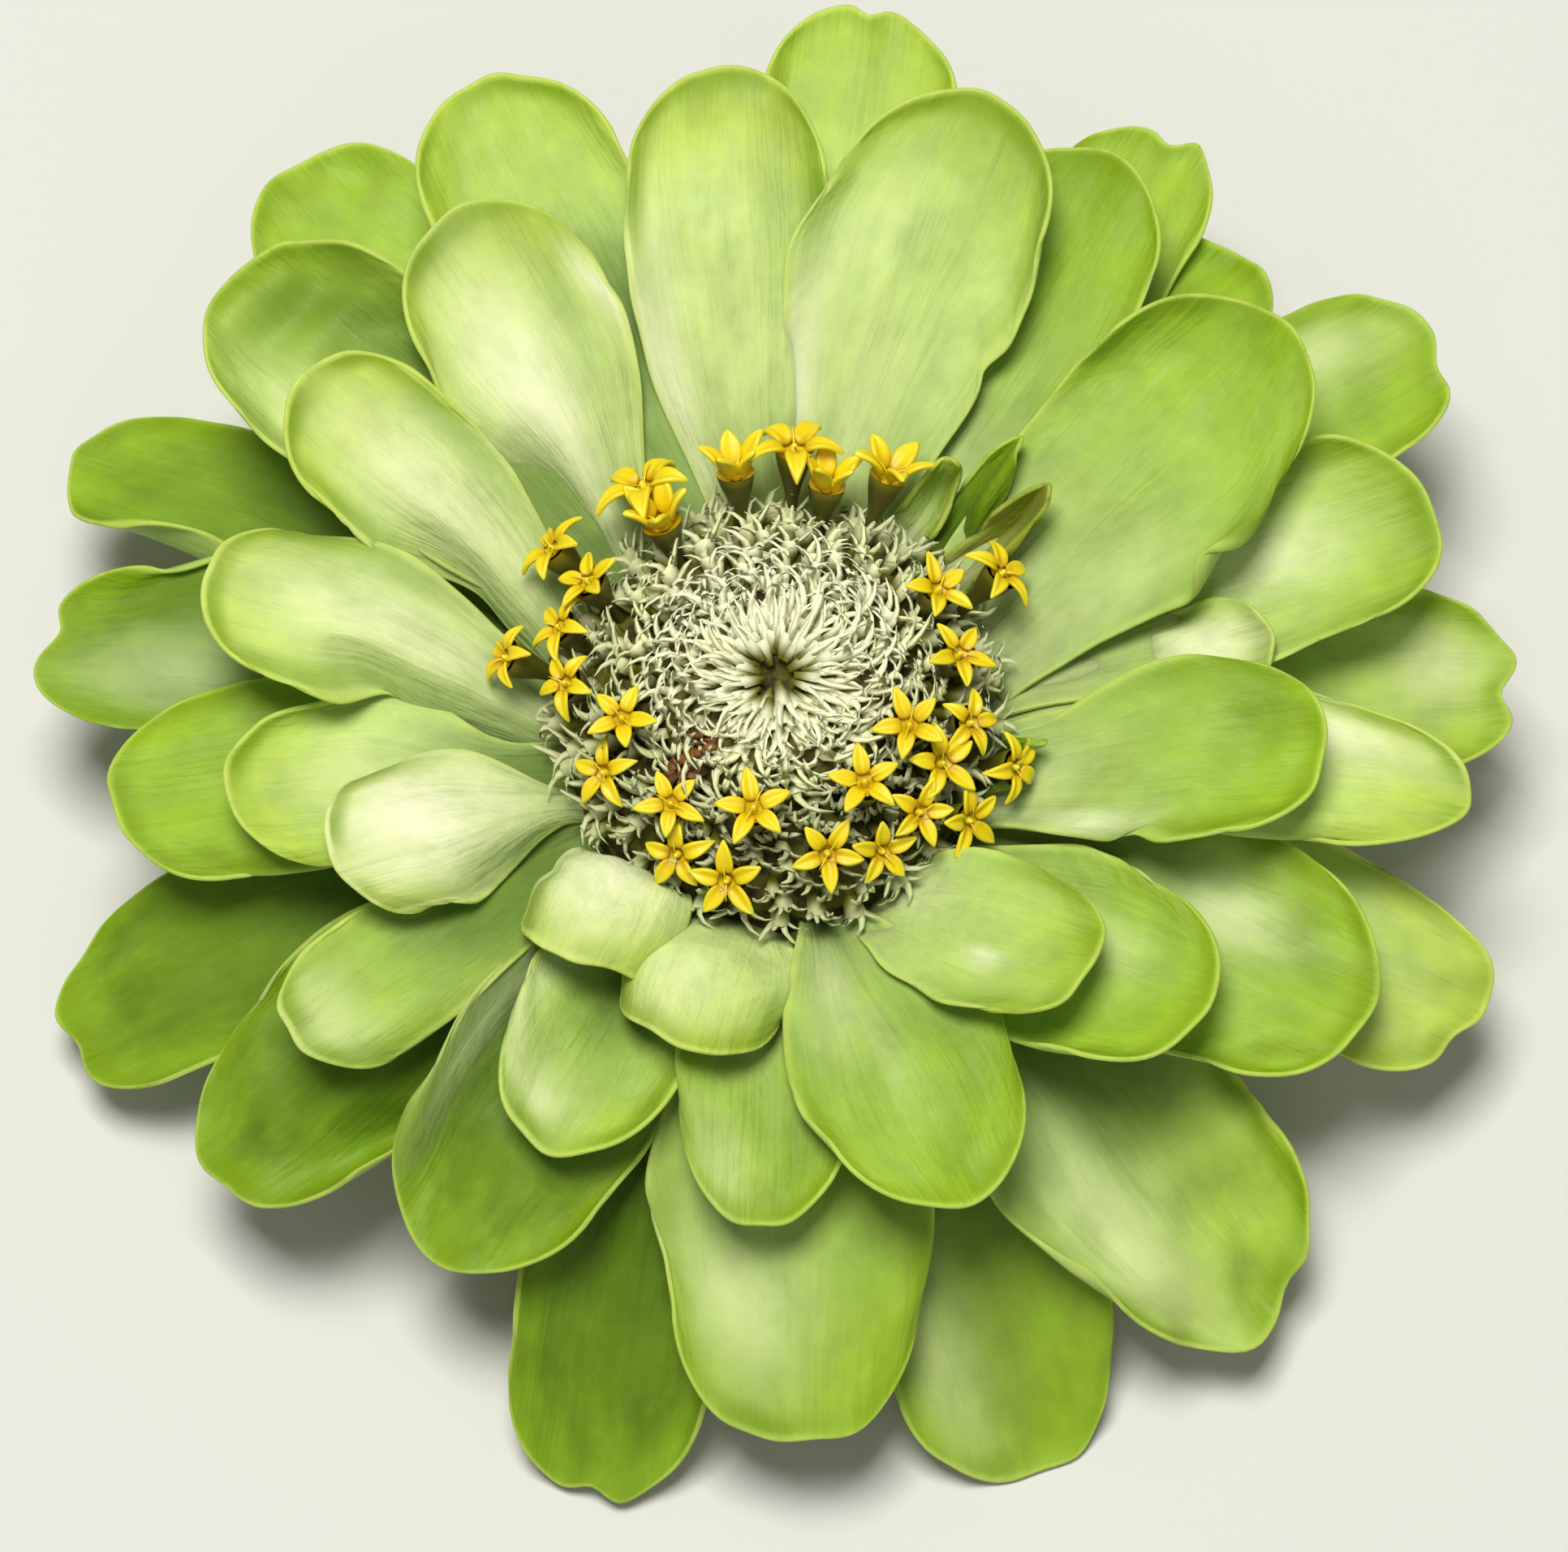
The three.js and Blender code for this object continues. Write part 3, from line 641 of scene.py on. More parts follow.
            patches=[(0, 0.4, 0.8, 0.3, -0.6)]),
        ray(186, 41, 16, 12.8, age=0.5, ruffle=0.6, patches=[(0, 0.5, 0.8, 0.2, -0.4)]),
        ray(170.6, 46.6, 11.2, 12.6, age=0.82, notch=1.3, notchAt=-0.15,
            bites=[(-1, 0.95, 0.08, 0.6), (-1, 0.7, 0.12, -1.6)],
            patches=[(-0.5, 0.5, 0.5, 0.25, -0.7), (0.3, 0.75, 0.5, 0.2, 0.3)]),
        ray(129, 49.5, 16, 13.5, age=0.35, pucker=0.8),
    ]},
    {"name": "petals_fourth", "radius": 13.2, "height": 15, "rise": 2, "age": 0.6, "shade": 0.8,
     "petals": [
        ray(155.5, 49, 10, 11.2, age=0.72, bow=-0.5, ruffle=0.7, rolls=[(1, 0.42, 155, 0.45, 1.15)],
            patches=[(0, 0.6, 0.8, 0.2, -0.4)]),
        ray(199.5, 47, 4, 13.4, age=0.84, notch=1, notchAt=0.2, ragged=0.8, pucker=0.5),
        ray(255.5, 45.8, 0.3, 13.3, 6, age=0.84, shade=1.2, notch=1.2, ruffle=0.6,
            patches=[(0, 0.45, 0.9, 0.3, -0.9)]),
        ray(290, 45.3, 0.3, 14, age=0.64, roundness=0.95, notch=-1.3, notchAt=0.45, notchWidth=0.35,
            ragged=0.9, ruffle=0.6, bites=[(1, 0.9, 0.12, -1.0)],
            patches=[(0.3, 0.5, 0.7, 0.25, -0.5), (-0.5, 0.8, 0.4, 0.2, 0.3)]),
        ray(311, 46.3, 5, 16.2, age=0.34, shade=1.1, roundness=1.15, cup=0.1, notch=1.0, notchAt=0.36,
            notchWidth=0.12, pucker=1.2, bites=[(-1, 0.72, 0.2, -1.1)],
            patches=[(-0.5, 0.75, 0.4, 0.25, 0.4), (-0.2, 0.5, 0.2, 0.2, -0.6),
                     (0.5, 0.45, 0.5, 0.2, -0.5)]),
        ray(340, 46.5, 9, 13.2, 5, age=0.1, notch=1.1, notchAt=-0.4, pucker=0.9, ruffle=0.5,
            patches=[(0.3, 0.8, 0.3, 0.1, -0.3)]),
    ]},
    {"name": "petals_lowest", "radius": 13.2, "height": 14.3, "rise": -6, "age": 0.9, "shade": 0.8,
     "petals": [
        ray(226, 32, 0.3, 11),
        ray(20, 37, 0.3, 11),
        ray(66, 40, 0.3, 11),
        ray(110, 38, 0.3, 11),
        ray(148, 37, 0.3, 11),
    ]},
]


class Spine:
    # the curve that a petal's middle follows, from its root to its tip
    def __init__(self, petal, whorl):
        self.root = polar(whorl["radius"], petal["bearing"] - petal["lean"], whorl["height"])
        self.tip = polar(petal["reach"], petal["bearing"], petal["tip"])
        self.knee = (self.root + self.tip) / 2
        run = (self.tip - self.root).to_2d().length / 2
        aside = Vector((0, 0, 1)).cross(self.tip - self.root).normalized()
        self.knee += aside * petal["bow"] * 2
        self.knee.z = self.root.z + math.tan(math.radians(whorl["rise"])) * run
        self.length = sum((self.at((i + 1) / 20) - self.at(i / 20)).length for i in range(20))

    def at(self, t):
        return self.root * (1 - t) ** 2 + self.knee * 2 * t * (1 - t) + self.tip * t * t

    def axes(self, t):
        tangent = ((self.knee - self.root) * (1 - t) + (self.tip - self.knee) * t).normalized()
        side = Vector((0, 0, 1)).cross(tangent).normalized()
        return side, tangent.cross(side)


def petalSpread(petal, v):
    # share of the full width, widest two thirds of the way out
    claw = petal["claw"]
    return claw + (1 - claw) * smooth(petal["flare"], 0.72, v) - 0.08 * smooth(0.72, 1, v)


def petalEdge(petal, spine, across, v):
    # millimetres to the nearest edge
    halfWidth = petal["width"] / 2 * petalSpread(petal, v)
    return min(halfWidth * (1 - abs(across)), (1 - v) * spine.length)


def halfWidthAt(petal, across, v):
    # half the width with its waved and bitten margin, in millimetres
    seed = petal["bearing"]
    shareCcw = (across + 1) / 2
    wobble = lerp(grain(v * 2.4, 5, seed), grain(v * 2.4, 9, seed), shareCcw) * petal["wobble"] * 2
    wobble += lerp(grain(v * 8, 2, seed), grain(v * 8, 3, seed), shareCcw) * petal["fineWobble"]
    halfWidth = petal["width"] / 2 * petalSpread(petal, v) * (1 + wobble)
    for side, place, reach, depth in petal["bites"]:
        if side * across > 0:
            halfWidth -= depth * bell((v - place) / reach)
    return halfWidth


def petalRise(petal, edge, across, lateral, distance, v):
    # the ridges, waves and creases that stand up from the petal's own curve, in millimetres
    seed = petal["bearing"]
    rise = 0
    for place, width, height, low, high in petal["ridges"]:
        rise += height * bell((across - place) / width) * hump(low, high, v)
    rise += petal["spoon"] * math.exp(-edge / petal["spoonWidth"]) * smooth(0.4, 0.85, v)
    rise += petal["ruffle"] * abs(across) ** 2.5 * v * math.sin(7 * v + seed + 1.7 * across) * 1.6
    rise += petal["crinkle"] * smooth(0.1, 0.7, v) * 2 * grain(across * 1.3, v * 2.2, seed)
    creases = 0.3 - abs(grain(lateral * 0.3, distance * 0.2, seed + 3)) * 2
    rise += petal["pucker"] * smooth(0.3, 0.8, v) * creases
    rise -= petal["pleat"] * math.cos(math.pi * across * 4) * (1 - 0.7 * v) * (1 - across ** 4)
    return rise + petal["arch"] * math.sin(math.pi * v)


def petalPoint(petal, spine, u, v):
    turn = math.pi * (u - 0.5)
    across = math.sin(turn)
    halfWidth = halfWidthAt(petal, across, v)
    shoulder = 1 - clamp(petal["width"] / 2 * petal["roundness"] / spine.length, 0.18, 0.6)
    notch = petal["notch"] / spine.length * bell((across - petal["notchAt"]) / petal["notchWidth"])
    ragged = grain(across * 2.1, 17, petal["bearing"]) * petal["ragged"] / spine.length
    t = v * (shoulder + (1 - shoulder) * math.cos(turn)) + (ragged - notch) * v ** 6
    side, up = spine.axes(t)

    lateral = across * halfWidth
    cup = lerp(petal["clawCup"], petal["cup"], smooth(0, 0.8, v))
    rise = cup * halfWidth * across ** 2
    for edgeSide, start, degrees, low, high in petal["rolls"]:
        beyond = across * edgeSide - start
        angle = math.radians(degrees) * hump(low, high, v)
        if beyond > 0 and abs(angle) > 0.01:
            total = (1 - start) * halfWidth
            share = beyond / (1 - start)
            lateral = edgeSide * (start * halfWidth + total / angle * math.sin(angle * share))
            rise += total / angle * (1 - math.cos(angle * share))
    for edgeSide, start, degrees, low, high in petal["folds"]:
        beyond = max(0, across * edgeSide - start)
        angle = math.radians(degrees) * (smooth(low - 0.2, low, v) - smooth(high - 0.25, high, v))
        lateral -= edgeSide * beyond * halfWidth * (1 - math.cos(angle))
        rise += beyond * halfWidth * math.sin(angle)
    rise += petalRise(petal, petalEdge(petal, spine, across, v), across, lateral, t * spine.length, v)

    twist = math.radians(petal["twist"]) * smooth(0.1, 0.9, v)
    sideways = side * math.cos(twist) + up * math.sin(twist)
    upwards = up * math.cos(twist) - side * math.sin(twist)
    point = spine.at(t) + sideways * lateral + upwards * rise
    point.z = max(point.z, petal["clearance"])
    return toBloom(point)


def petalPlace(petal, spine, u, v):
    across = math.sin(math.pi * (u - 0.5))
    return v, across, petalEdge(petal, spine, across, v)


def petalShadeHighlightTone(petal, whorl, u, v):
    # x how dark, from painted shade and the petal's darker tone; y how pale, from painted highlights and its
    # paler tone; z how strong the band of painted shade inside the rim is
    across = math.sin(math.pi * (u - 0.5))
    # painted shade: the root half darkens by the ring's or the petal's shade, where the petals above would
    # shade it
    dark = 0.8 * petal.get("shade", whorl["shade"]) * (1 - smooth(0.25, 0.75, v))
    pale = 0
    # painted highlights and painted shade, partly the petal's own paler and darker tone
    for place, along, width, length, strength in petal["patches"]:
        amount = strength * bell((across - place) / width) * bell((v - along) / length)
        pale += max(amount, 0)
        dark += max(-amount, 0)
    # painted shade band inside the rim, stronger towards the tip
    band = smooth(0.35, 0.85, v) * clamp(0.6 + 1.2 * grain(across * 1.5, v * 2, petal["bearing"] + 40))
    return clamp(dark), clamp(pale), band


def nearTip(v):
    # rows stand closer together towards the tip
    return 1 - (1 - v) ** 1.35


def makePetal(petal, whorl):
    spine = Spine(petal, whorl)
    kind = (petal["bearing"] * 0.137, petal.get("age", whorl["age"]), petal["wilt"])
    piece = shapedGrid(
        "petal", petalMake["columns"], petalMake["rows"],
        lambda u, v: petalPoint(petal, spine, 1 - u, nearTip(v)),
        {
            "petalPlace": lambda u, v: petalPlace(petal, spine, 1 - u, nearTip(v)),
            "petalKind": lambda u, v: kind,
            "petalShadeHighlightTone": lambda u, v: petalShadeHighlightTone(petal, whorl, 1 - u, nearTip(v)),
        })
    wear(piece, petalUpper, petalUnder)
    return piece


petalUpper = makePetalMaterial("petalUpper", petalPaint)
petalUnder = makePetalMaterial("petalUnder", petalPaint, underside=True)

for whorl in whorls:
    piece = joinPieces(whorl["name"], [makePetal(petal, whorl) for petal in whorl["petals"]])
    applyModifier(
        piece, "SOLIDIFY", thickness=petalMake["thickness"] * mm, offset=0,
        material_offset=1, use_quality_normals=True)
    roundOff(piece)
    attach(piece, "root")
    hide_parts("ray_petals")
    print("petals:", piece.name, len(piece.data.polygons), "faces")


# chaff: fringed bracts on the cone and round it

chaffPaint = {
    "fresh": tint(254, 254, 214),
    "middle": tint(238, 240, 186),
    "older": tint(206, 210, 158),
    "ripening": (6.5, 12.5),  # millimetres from the axis, from fresh to older
    "behind": 2.4,  # the ripening's middle stands this far behind the axis
    # foot: darker olive at each bract's foot, partly its own colour and partly painted shade down between the
    # crowded bracts
    "foot": tint(110, 112, 14),
    # core and gap: olive and near black brown of the body under the chaff, partly its own colour and partly
    # painted shade in the gaps between bracts
    "core": tint(92, 88, 10),
    "gap": tint(50, 34, 6),
}


def radiusNode(board, place, behind):
    # distance from the bloom's axis, in millimetres
    x, y = board.split(place)[:2]
    dx = board.math("SUBTRACT", x, axisPoint.x)
    dy = board.math("SUBTRACT", y, axisPoint.y + behind * mm)
    squares = board.plus(board.times(dx, dx), board.times(dy, dy))
    return board.times(board.math("SQRT", squares), 1000)


def makeChaffMaterial(paint):
    material, board, shader = newMaterial(
        "chaffFringe", Roughness=0.6, Subsurface_Weight=0.15, Subsurface_Radius=(1, 0.9, 0.4),
        Subsurface_Scale=0.0005)
    place = board.here()
    along = board.split(board.attribute("alongPart"))[0]
    ripe = board.remap(radiusNode(board, place, paint["behind"]), *paint["ripening"])
    colour = board.ramp(ripe, [(0.0, paint["fresh"]), (0.4, paint["middle"]), (1.0, paint["older"])])
    patch = board.remap(board.noise(place, 900), 0.5, 0.7, 0.0, 0.3)
    colour = board.mix(patch, colour, paint["older"])
    # painted shade at the bracts' feet, partly their own darker colour
    foot = board.remap(along, 0.1, 0.62, 1.0, 0.0)
    board.feed(shader, "Base Color", board.mix(foot, colour, paint["foot"]))
    return material


def makeCoreMaterial(paint):
    material, board, shader = newMaterial("chaffCore", Roughness=0.8)
    spots = board.noise(board.here(), 700, 3.0, 0.7)
    # dark spots: partly painted shade in the gaps between bracts
    colour = board.mix(board.remap(spots, 0.4, 0.65), paint["core"], paint["gap"])
    board.feed(shader, "Base Color", colour)
    board.bump(shader, spots, 0.6, 0.0005)
    return material


def makeFinger(plan, segments=3):
    # a tapered three sided thread, extruded and shrunk step by step; it points up and curls one way
    deselectAll()
    bpy.ops.mesh.primitive_circle_add(vertices=3, radius=plan["root"] * mm, fill_type="NGON")
    finger = bpy.context.object
    bpy.ops.object.mode_set(mode="EDIT")
    lean = math.radians(plan["fan"])
    way = Vector((math.sin(lean), 0, math.cos(lean)))
    hook = Vector((math.cos(lean), 0, -math.sin(lean))) * math.cos(math.radians(plan["hook"]))
    hook += Vector((0, 1, 0)) * math.sin(math.radians(plan["hook"]))
    for i in range(segments):
        curl = math.radians(plan["curl"]) * (i + 0.5) / segments
        step = (way * math.cos(curl) + hook * math.sin(curl)) * plan["length"] / segments * mm
        bpy.ops.mesh.extrude_region_move(TRANSFORM_OT_translate={"value": step})
        shrink = 0.8 if i < segments - 1 else 0.3
        bpy.ops.transform.resize(value=(shrink, shrink, shrink))
    bpy.ops.object.mode_set(mode="OBJECT")
    finger.data.transform(Matrix.Translation(Vector((plan["x"], 0, plan["z"])) * mm))
    return finger


def makeBract(name, plan, seed):
    # a keeled blade with a fringe of curled threads at its end; its fringe starts at the origin
    dice = random.Random(seed)
    half = plan["width"] / 2

    def place(u, v):
        x = (u - 0.5) * 2
        reach = lerp(-plan["blade"], 0.25 * (1 - abs(x)), v)
        return Vector((x * half * lerp(0.5, 1, v), -0.5 * (1 - abs(x)) * half, reach)) * mm

    blade = shapedGrid(name, 2, 2, place)
    applyModifier(blade, "SOLIDIFY", thickness=0.1 * mm, offset=0)
    parts = [blade]
    for i in range(plan["threads"]):
        share = (i + 0.5) / plan["threads"] * 2 - 1
        parts.append(makeFinger({
            "x": share * half * 0.8,
            "z": -0.15,
            "root": plan["thick"] * dice.uniform(0.8, 1.15),
            "fan": share * plan["fan"] + dice.uniform(-16, 16),
            "curl": plan["curl"] * dice.uniform(0.5, 1.4),
            "hook": dice.choice((-90, -70, -110, 0, 180)) + dice.uniform(-25, 25),
            "length": plan["length"] * dice.uniform(0.7, 1.2),
        }, plan["steps"]))
    bract = joinPieces(name, parts)
    closeSeams(bract, 0.000001)
    layer = bract.data.attributes.new("alongPart", "FLOAT_VECTOR", "POINT")
    for vertex, spot in zip(bract.data.vertices, layer.data):
        spot.vector = (clamp(0.5 + vertex.co.z / mm / 3), 0, 0)
    bpy.ops.object.shade_smooth()
    return bract


# a bract's blade, and the threads of its fringe: their thickness, spread, curl, length and steps
chaffMake = {
    "fresh": {
        "width": 0.9, "blade": 1.3,
        "threads": 2, "thick": 0.25, "fan": 22, "curl": 45, "length": 2.3, "steps": 3},
    "open": {
        "width": 1.1, "blade": 2.0,
        "threads": 3, "thick": 0.31, "fan": 50, "curl": 120, "length": 2.6, "steps": 4},
    "older": {
        "width": 1.3, "blade": 2.4,
        "threads": 4, "thick": 0.27, "fan": 62, "curl": 90, "length": 1.8, "steps": 3},
}

coneMake = {
    "radius": 7.4,
    "shoulder": 24.4,
    "top": 26.9,
    "collarRun": 3.4,  # from the cone's foot, where the collar starts to fall away
    "collarHeight": 23.2,
    "edgeRun": 3.2,
    "edgeHeight": 20.2,
    "core": [
        (0, 13.0), (7.0, 13.0), (7.0, 18.0), (7.3, 21), (7.3, 24), (6.6, 25.2),
        (5.0, 26.0), (3.0, 26.4), (1.4, 26.1), (0.6, 25.4), (0, 25.2)],
    "coreBumps": 0.25,
    "collar": [
        (7.0, 17.3), (11.6, 17.3), (12.9, 18.4), (12.6, 20.2), (10.8, 21.6), (8.6, 22.6),
        (7.0, 22.8), (7.0, 17.3)],
    "collarBumps": 0.5,
}


def domeHeight(radius):
    # the cone's dome, then the collar sloping down from it
    make = coneMake
    if radius <= make["radius"]:
        rise = make["top"] - make["shoulder"]
        return make["shoulder"] + rise * math.sqrt(max(0, 1 - (radius / make["radius"]) ** 2))
    collarEnd = make["radius"] + make["collarRun"]
    if radius <= collarEnd:
        return lerp(make["shoulder"], make["collarHeight"], (radius - make["radius"]) / make["collarRun"])
    return lerp(make["collarHeight"], make["edgeHeight"], clamp((radius - collarEnd) / make["edgeRun"]))


def standBract(template, radius, bearing, height, outward, spin, size):
    # puts a bract with its fringe at that place, leaning outward from upright by so many degrees
    spot = Matrix.Translation(toBloom(polar(radius, bearing, height)))
    leaning = turned(bearing - 90) @ turned(-outward, "X")
    return copyPiece(template, spot @ leaning @ turned(spin) @ Matrix.Scale(size, 4))


# where each kind of bract stands: the spiral's spacing and radii in millimetres, and how far its
# bracts lean outward at the first radius and at the last
chaffPlans = {
    "cone_chaff_inner": {
        "kind": "fresh", "first": 2.0, "last": 4.2, "spacing": 0.42, "lean": (80, 64), "seed": 11},
    "cone_chaff_outer": {
        "kind": "open", "first": 4.2, "last": 8.6, "spacing": 0.68, "lean": (64, 40), "seed": 12},
    "collar_chaff": {
        "kind": "older", "first": 8.6, "last": 14.0, "spacing": 0.84, "lean": (30, 86), "seed": 13},
}
goldenAngle = 137.508


def scatterChaff(name):
    plan = chaffPlans[name]
    dice = random.Random(plan["seed"])
    first, last = plan["first"], plan["last"]
    parts = []
    index = int((first / plan["spacing"]) ** 2) + 1
    while plan["spacing"] * math.sqrt(index) <= last:
        radius = plan["spacing"] * math.sqrt(index)
        bearing = (index * goldenAngle) % 360 + dice.uniform(-4, 4)
        outward = lerp(*plan["lean"], (radius - first) / (last - first)) + dice.uniform(-12, 12)
        height = domeHeight(radius) + dice.uniform(-0.25, 0.35)
        template = dice.choice(templates[plan["kind"]])
        spin = dice.uniform(-35, 35)
        size = dice.uniform(0.85, 1.15)
        parts.append(standBract(template, radius, bearing, height, outward, spin, size))
        index += 1
    return joinPieces(name, parts)


chaffFringe = makeChaffMaterial(chaffPaint)
chaffCore = makeCoreMaterial(chaffPaint)
templates = {key: [makeBract(key, plan, seed) for seed in (3, 5, 8)] for key, plan in chaffMake.items()}

core = turnedPiece("cone_core", coneMake["core"], bumps=coneMake["coreBumps"])
inner = scatterChaff("cone_chaff_inner")
outer = scatterChaff("cone_chaff_outer")
for piece, paint in ((core, chaffCore), (inner, chaffFringe), (outer, chaffFringe)):
    wear(piece, paint)
    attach(piece, "root")
    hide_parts("chaff_cone")
    print("cone:", piece.name, len(piece.data.polygons), "faces")

collar = turnedPiece("collar_core", coneMake["collar"], bumps=coneMake["collarBumps"])
collarChaff = scatterChaff("collar_chaff")
for piece, paint in ((collar, chaffCore), (collarChaff, chaffFringe)):
    wear(piece, paint)
    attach(piece, "root")
    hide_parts("disc_florets")
    print("collar:", piece.name, len(piece.data.polygons), "faces")


# disc florets

floretPaint = {
    "tip": tint(247, 225, 44),
    "lobe": tint(241, 211, 8),
    "throat": tint(204, 166, 4),
    "tubeFoot": tint(70, 70, 18),
    "tube": tint(78, 78, 12),
    "tubeMouth": tint(120, 112, 16),
    "withered": tint(134, 86, 34),
    "witheredDark": tint(82, 50, 18),
}

# each floret's bearing, and the radius and height of its mouth in millimetres
florets = [
    (100, 14.5, 24), (86, 15.4, 25), (77, 13.8, 24), (64, 15.6, 24), (32, 11.6, 25), (29, 15.7, 24),
    (9, 11.2, 25.5), (348, 12, 25), (343, 15.1, 22.5), (337, 8.7, 27), (333, 11.2, 25), (326, 14, 22.5),
    (317, 11.8, 24.5), (307, 8.8, 27), (302, 12, 23.5), (286, 11.1, 24.5), (261, 8.8, 27), (256, 12.4, 23.5),
    (240, 12, 23.5), (231, 10.1, 25.5), (207, 11.7, 24), (196, 9.7, 26.3), (178, 12.8, 24), (172, 16.6, 23.5),
    (162, 13.9, 23.5), (149, 13.4, 24.5), (146, 16.5, 24), (123, 12.9, 24.4), (121.7, 15.5, 24.2),
]

witheredFlorets = [(221, 6.2, 25.7), (225, 8.0, 25.2)]

floretMake = {
    "lobeLength": 2.0,
    "lobeWidth": 1.3,
    "lobeThickness": 0.26,
    "lobeCount": 5,
    "keel": 0.55,
    "mouth": 0.62,  # radius where the lobes start
    "tubeFoot": 0.4,
    "tubeMouth": 1.2,
    "footHeight": 20.5,
    "footShare": 0.8,
    "footLowest": 9,
    "footHighest": 12.2,
    "farSide": (50, 130),  # bearings of the florets that are seen from the side
    "farSize": 1.32,
    "witheredTilt": 35,
    "witheredShape": (0.8, 0.7, 1.3, 1),
}

# how steeply the lobes climb, how far they bend back, and the seed of their draws
openLobes = ((22, 20, 1), (25, 55, 2), (30, 90, 4), (15, 10, 6))
uprightLobes = ((58, 40, 7), (40, 90, 8), (66, 20, 12))
witheredLobes = (30, 150, 9)


def makeFloretMaterial(paint):
    material, board, shader = newMaterial(
        "floretYellow", Roughness=0.45, Subsurface_Weight=0.1, Subsurface_Radius=(1, 0.8, 0.1),
        Subsurface_Scale=0.0006)
    along = board.split(board.attribute("alongPart"))[0]
    place = board.plus(along, board.swing(board.noise(board.here(), 420), 0.4))
    colour = board.ramp(place, [(0.0, paint["throat"]), (0.3, paint["lobe"]), (0.9, paint["tip"])])
    board.feed(shader, "Base Color", colour)
    return material


def makeTubeMaterial(paint):
    material, board, shader = newMaterial("floretTube", Roughness=0.5)
    along = board.split(board.attribute("alongPart"))[0]
    colour = board.ramp(along, [(0.0, paint["tubeFoot"]), (0.86, paint["tube"]), (1.0, paint["tubeMouth"])])
    board.feed(shader, "Base Color", colour)
    return material


def makeWitheredMaterial(paint):
    material, board, shader = newMaterial("floretBrown", Roughness=0.7)
    spots = board.remap(board.noise(board.here(), 1500), 0.4, 0.6)
    board.feed(shader, "Base Color", board.mix(spots, paint["withered"], paint["witheredDark"]))
    return material


def makeLobe(length, bend, twist, climb):
    make = floretMake

    def place(u, v):
        x = (u - 0.5) * 2
        wide = make["lobeWidth"] / 2 * max(0.03, 0.6 + 1.5 * v - 2.07 * v ** 1.8)
        slope = math.radians(climb) - math.radians(bend) * v * 0.5
        reach = make["mouth"] * 0.75 + v * length * math.cos(slope)
        lift = v * length * math.sin(slope)
        keel = make["keel"] * wide * abs(x)
        return Vector((reach, x * wide, lift + keel + twist * x * wide * v)) * mm

    lobe = shapedGrid("lobe", 4, 6, place, {"alongPart": lambda u, v: (v, u, 0)})
    applyModifier(lobe, "SOLIDIFY", thickness=make["lobeThickness"] * mm, offset=0)
    return lobe


def makeMouth():
    # a cup with a knob of anthers in its middle and two curled styles
    def cupPlace(u, v):
        return polar(lerp(0.95, 0.25, v), 360 * (u % 1), lerp(0.02, -0.35, v)) * mm

    def knobPlace(u, v):
        around = v * math.pi / 2
        return polar(0.28 * math.cos(around), 360 * (u % 1), lerp(-0.3, 0.4, math.sin(around))) * mm

    cup = shapedGrid("mouth", 10, 3, cupPlace, {"alongPart": lambda u, v: (0.25 * (1 - v), u, 0)})
    closeSeams(cup)
    knob = shapedGrid("knob", 8, 4, knobPlace, {"alongPart": lambda u, v: (1.0, u, 0)})
    closeSeams(knob)
    parts = [cup, knob]
    for side, hook in ((-1, 180), (1, 0)):
        style = makeFinger({
            "x": 0.1 * side, "z": 0.1, "root": 0.13,
            "fan": 20 * side, "curl": 90, "hook": hook, "length": 1.3})
        layer = style.data.attributes.new("alongPart", "FLOAT_VECTOR", "POINT")
        for spot in layer.data:
            spot.vector = (0.9, 0, 0)
        parts.append(style)
    return parts


def makeFloretTemplate(name, climb, recurve, seed):
    # five pointed, keeled lobes round a mouth, opening on +Z
    dice = random.Random(seed)
    parts = []
    for i in range(floretMake["lobeCount"]):
        length = floretMake["lobeLength"] * dice.uniform(0.88, 1.08)
        bend = recurve + dice.uniform(-18, 18)
        angle = 360 / floretMake["lobeCount"] * i + dice.uniform(-6, 6)
        lobe = makeLobe(length, bend, dice.uniform(-0.35, 0.35), climb)
        lobe.data.transform(turned(angle))
        parts.append(lobe)
    floret = joinPieces(name, parts + makeMouth())
    roundOff(floret)
    return floret


def makeTube(foot, head):
    way = head - foot
    axes = way.to_track_quat("Z", "Y").to_matrix()

    def place(u, v):
        radius = lerp(floretMake["tubeFoot"], floretMake["tubeMouth"], smooth(0.35, 1, v))
        radius *= 1 + 0.06 * math.cos(5 * u * math.tau)
        return toBloom(foot + axes @ polar(radius, 360 * (u % 1), way.length * v))

    tube = shapedGrid("tube", 15, 6, place, {"alongPart": lambda u, v: (v, u, 0)})
    closeSeams(tube)
    return tube


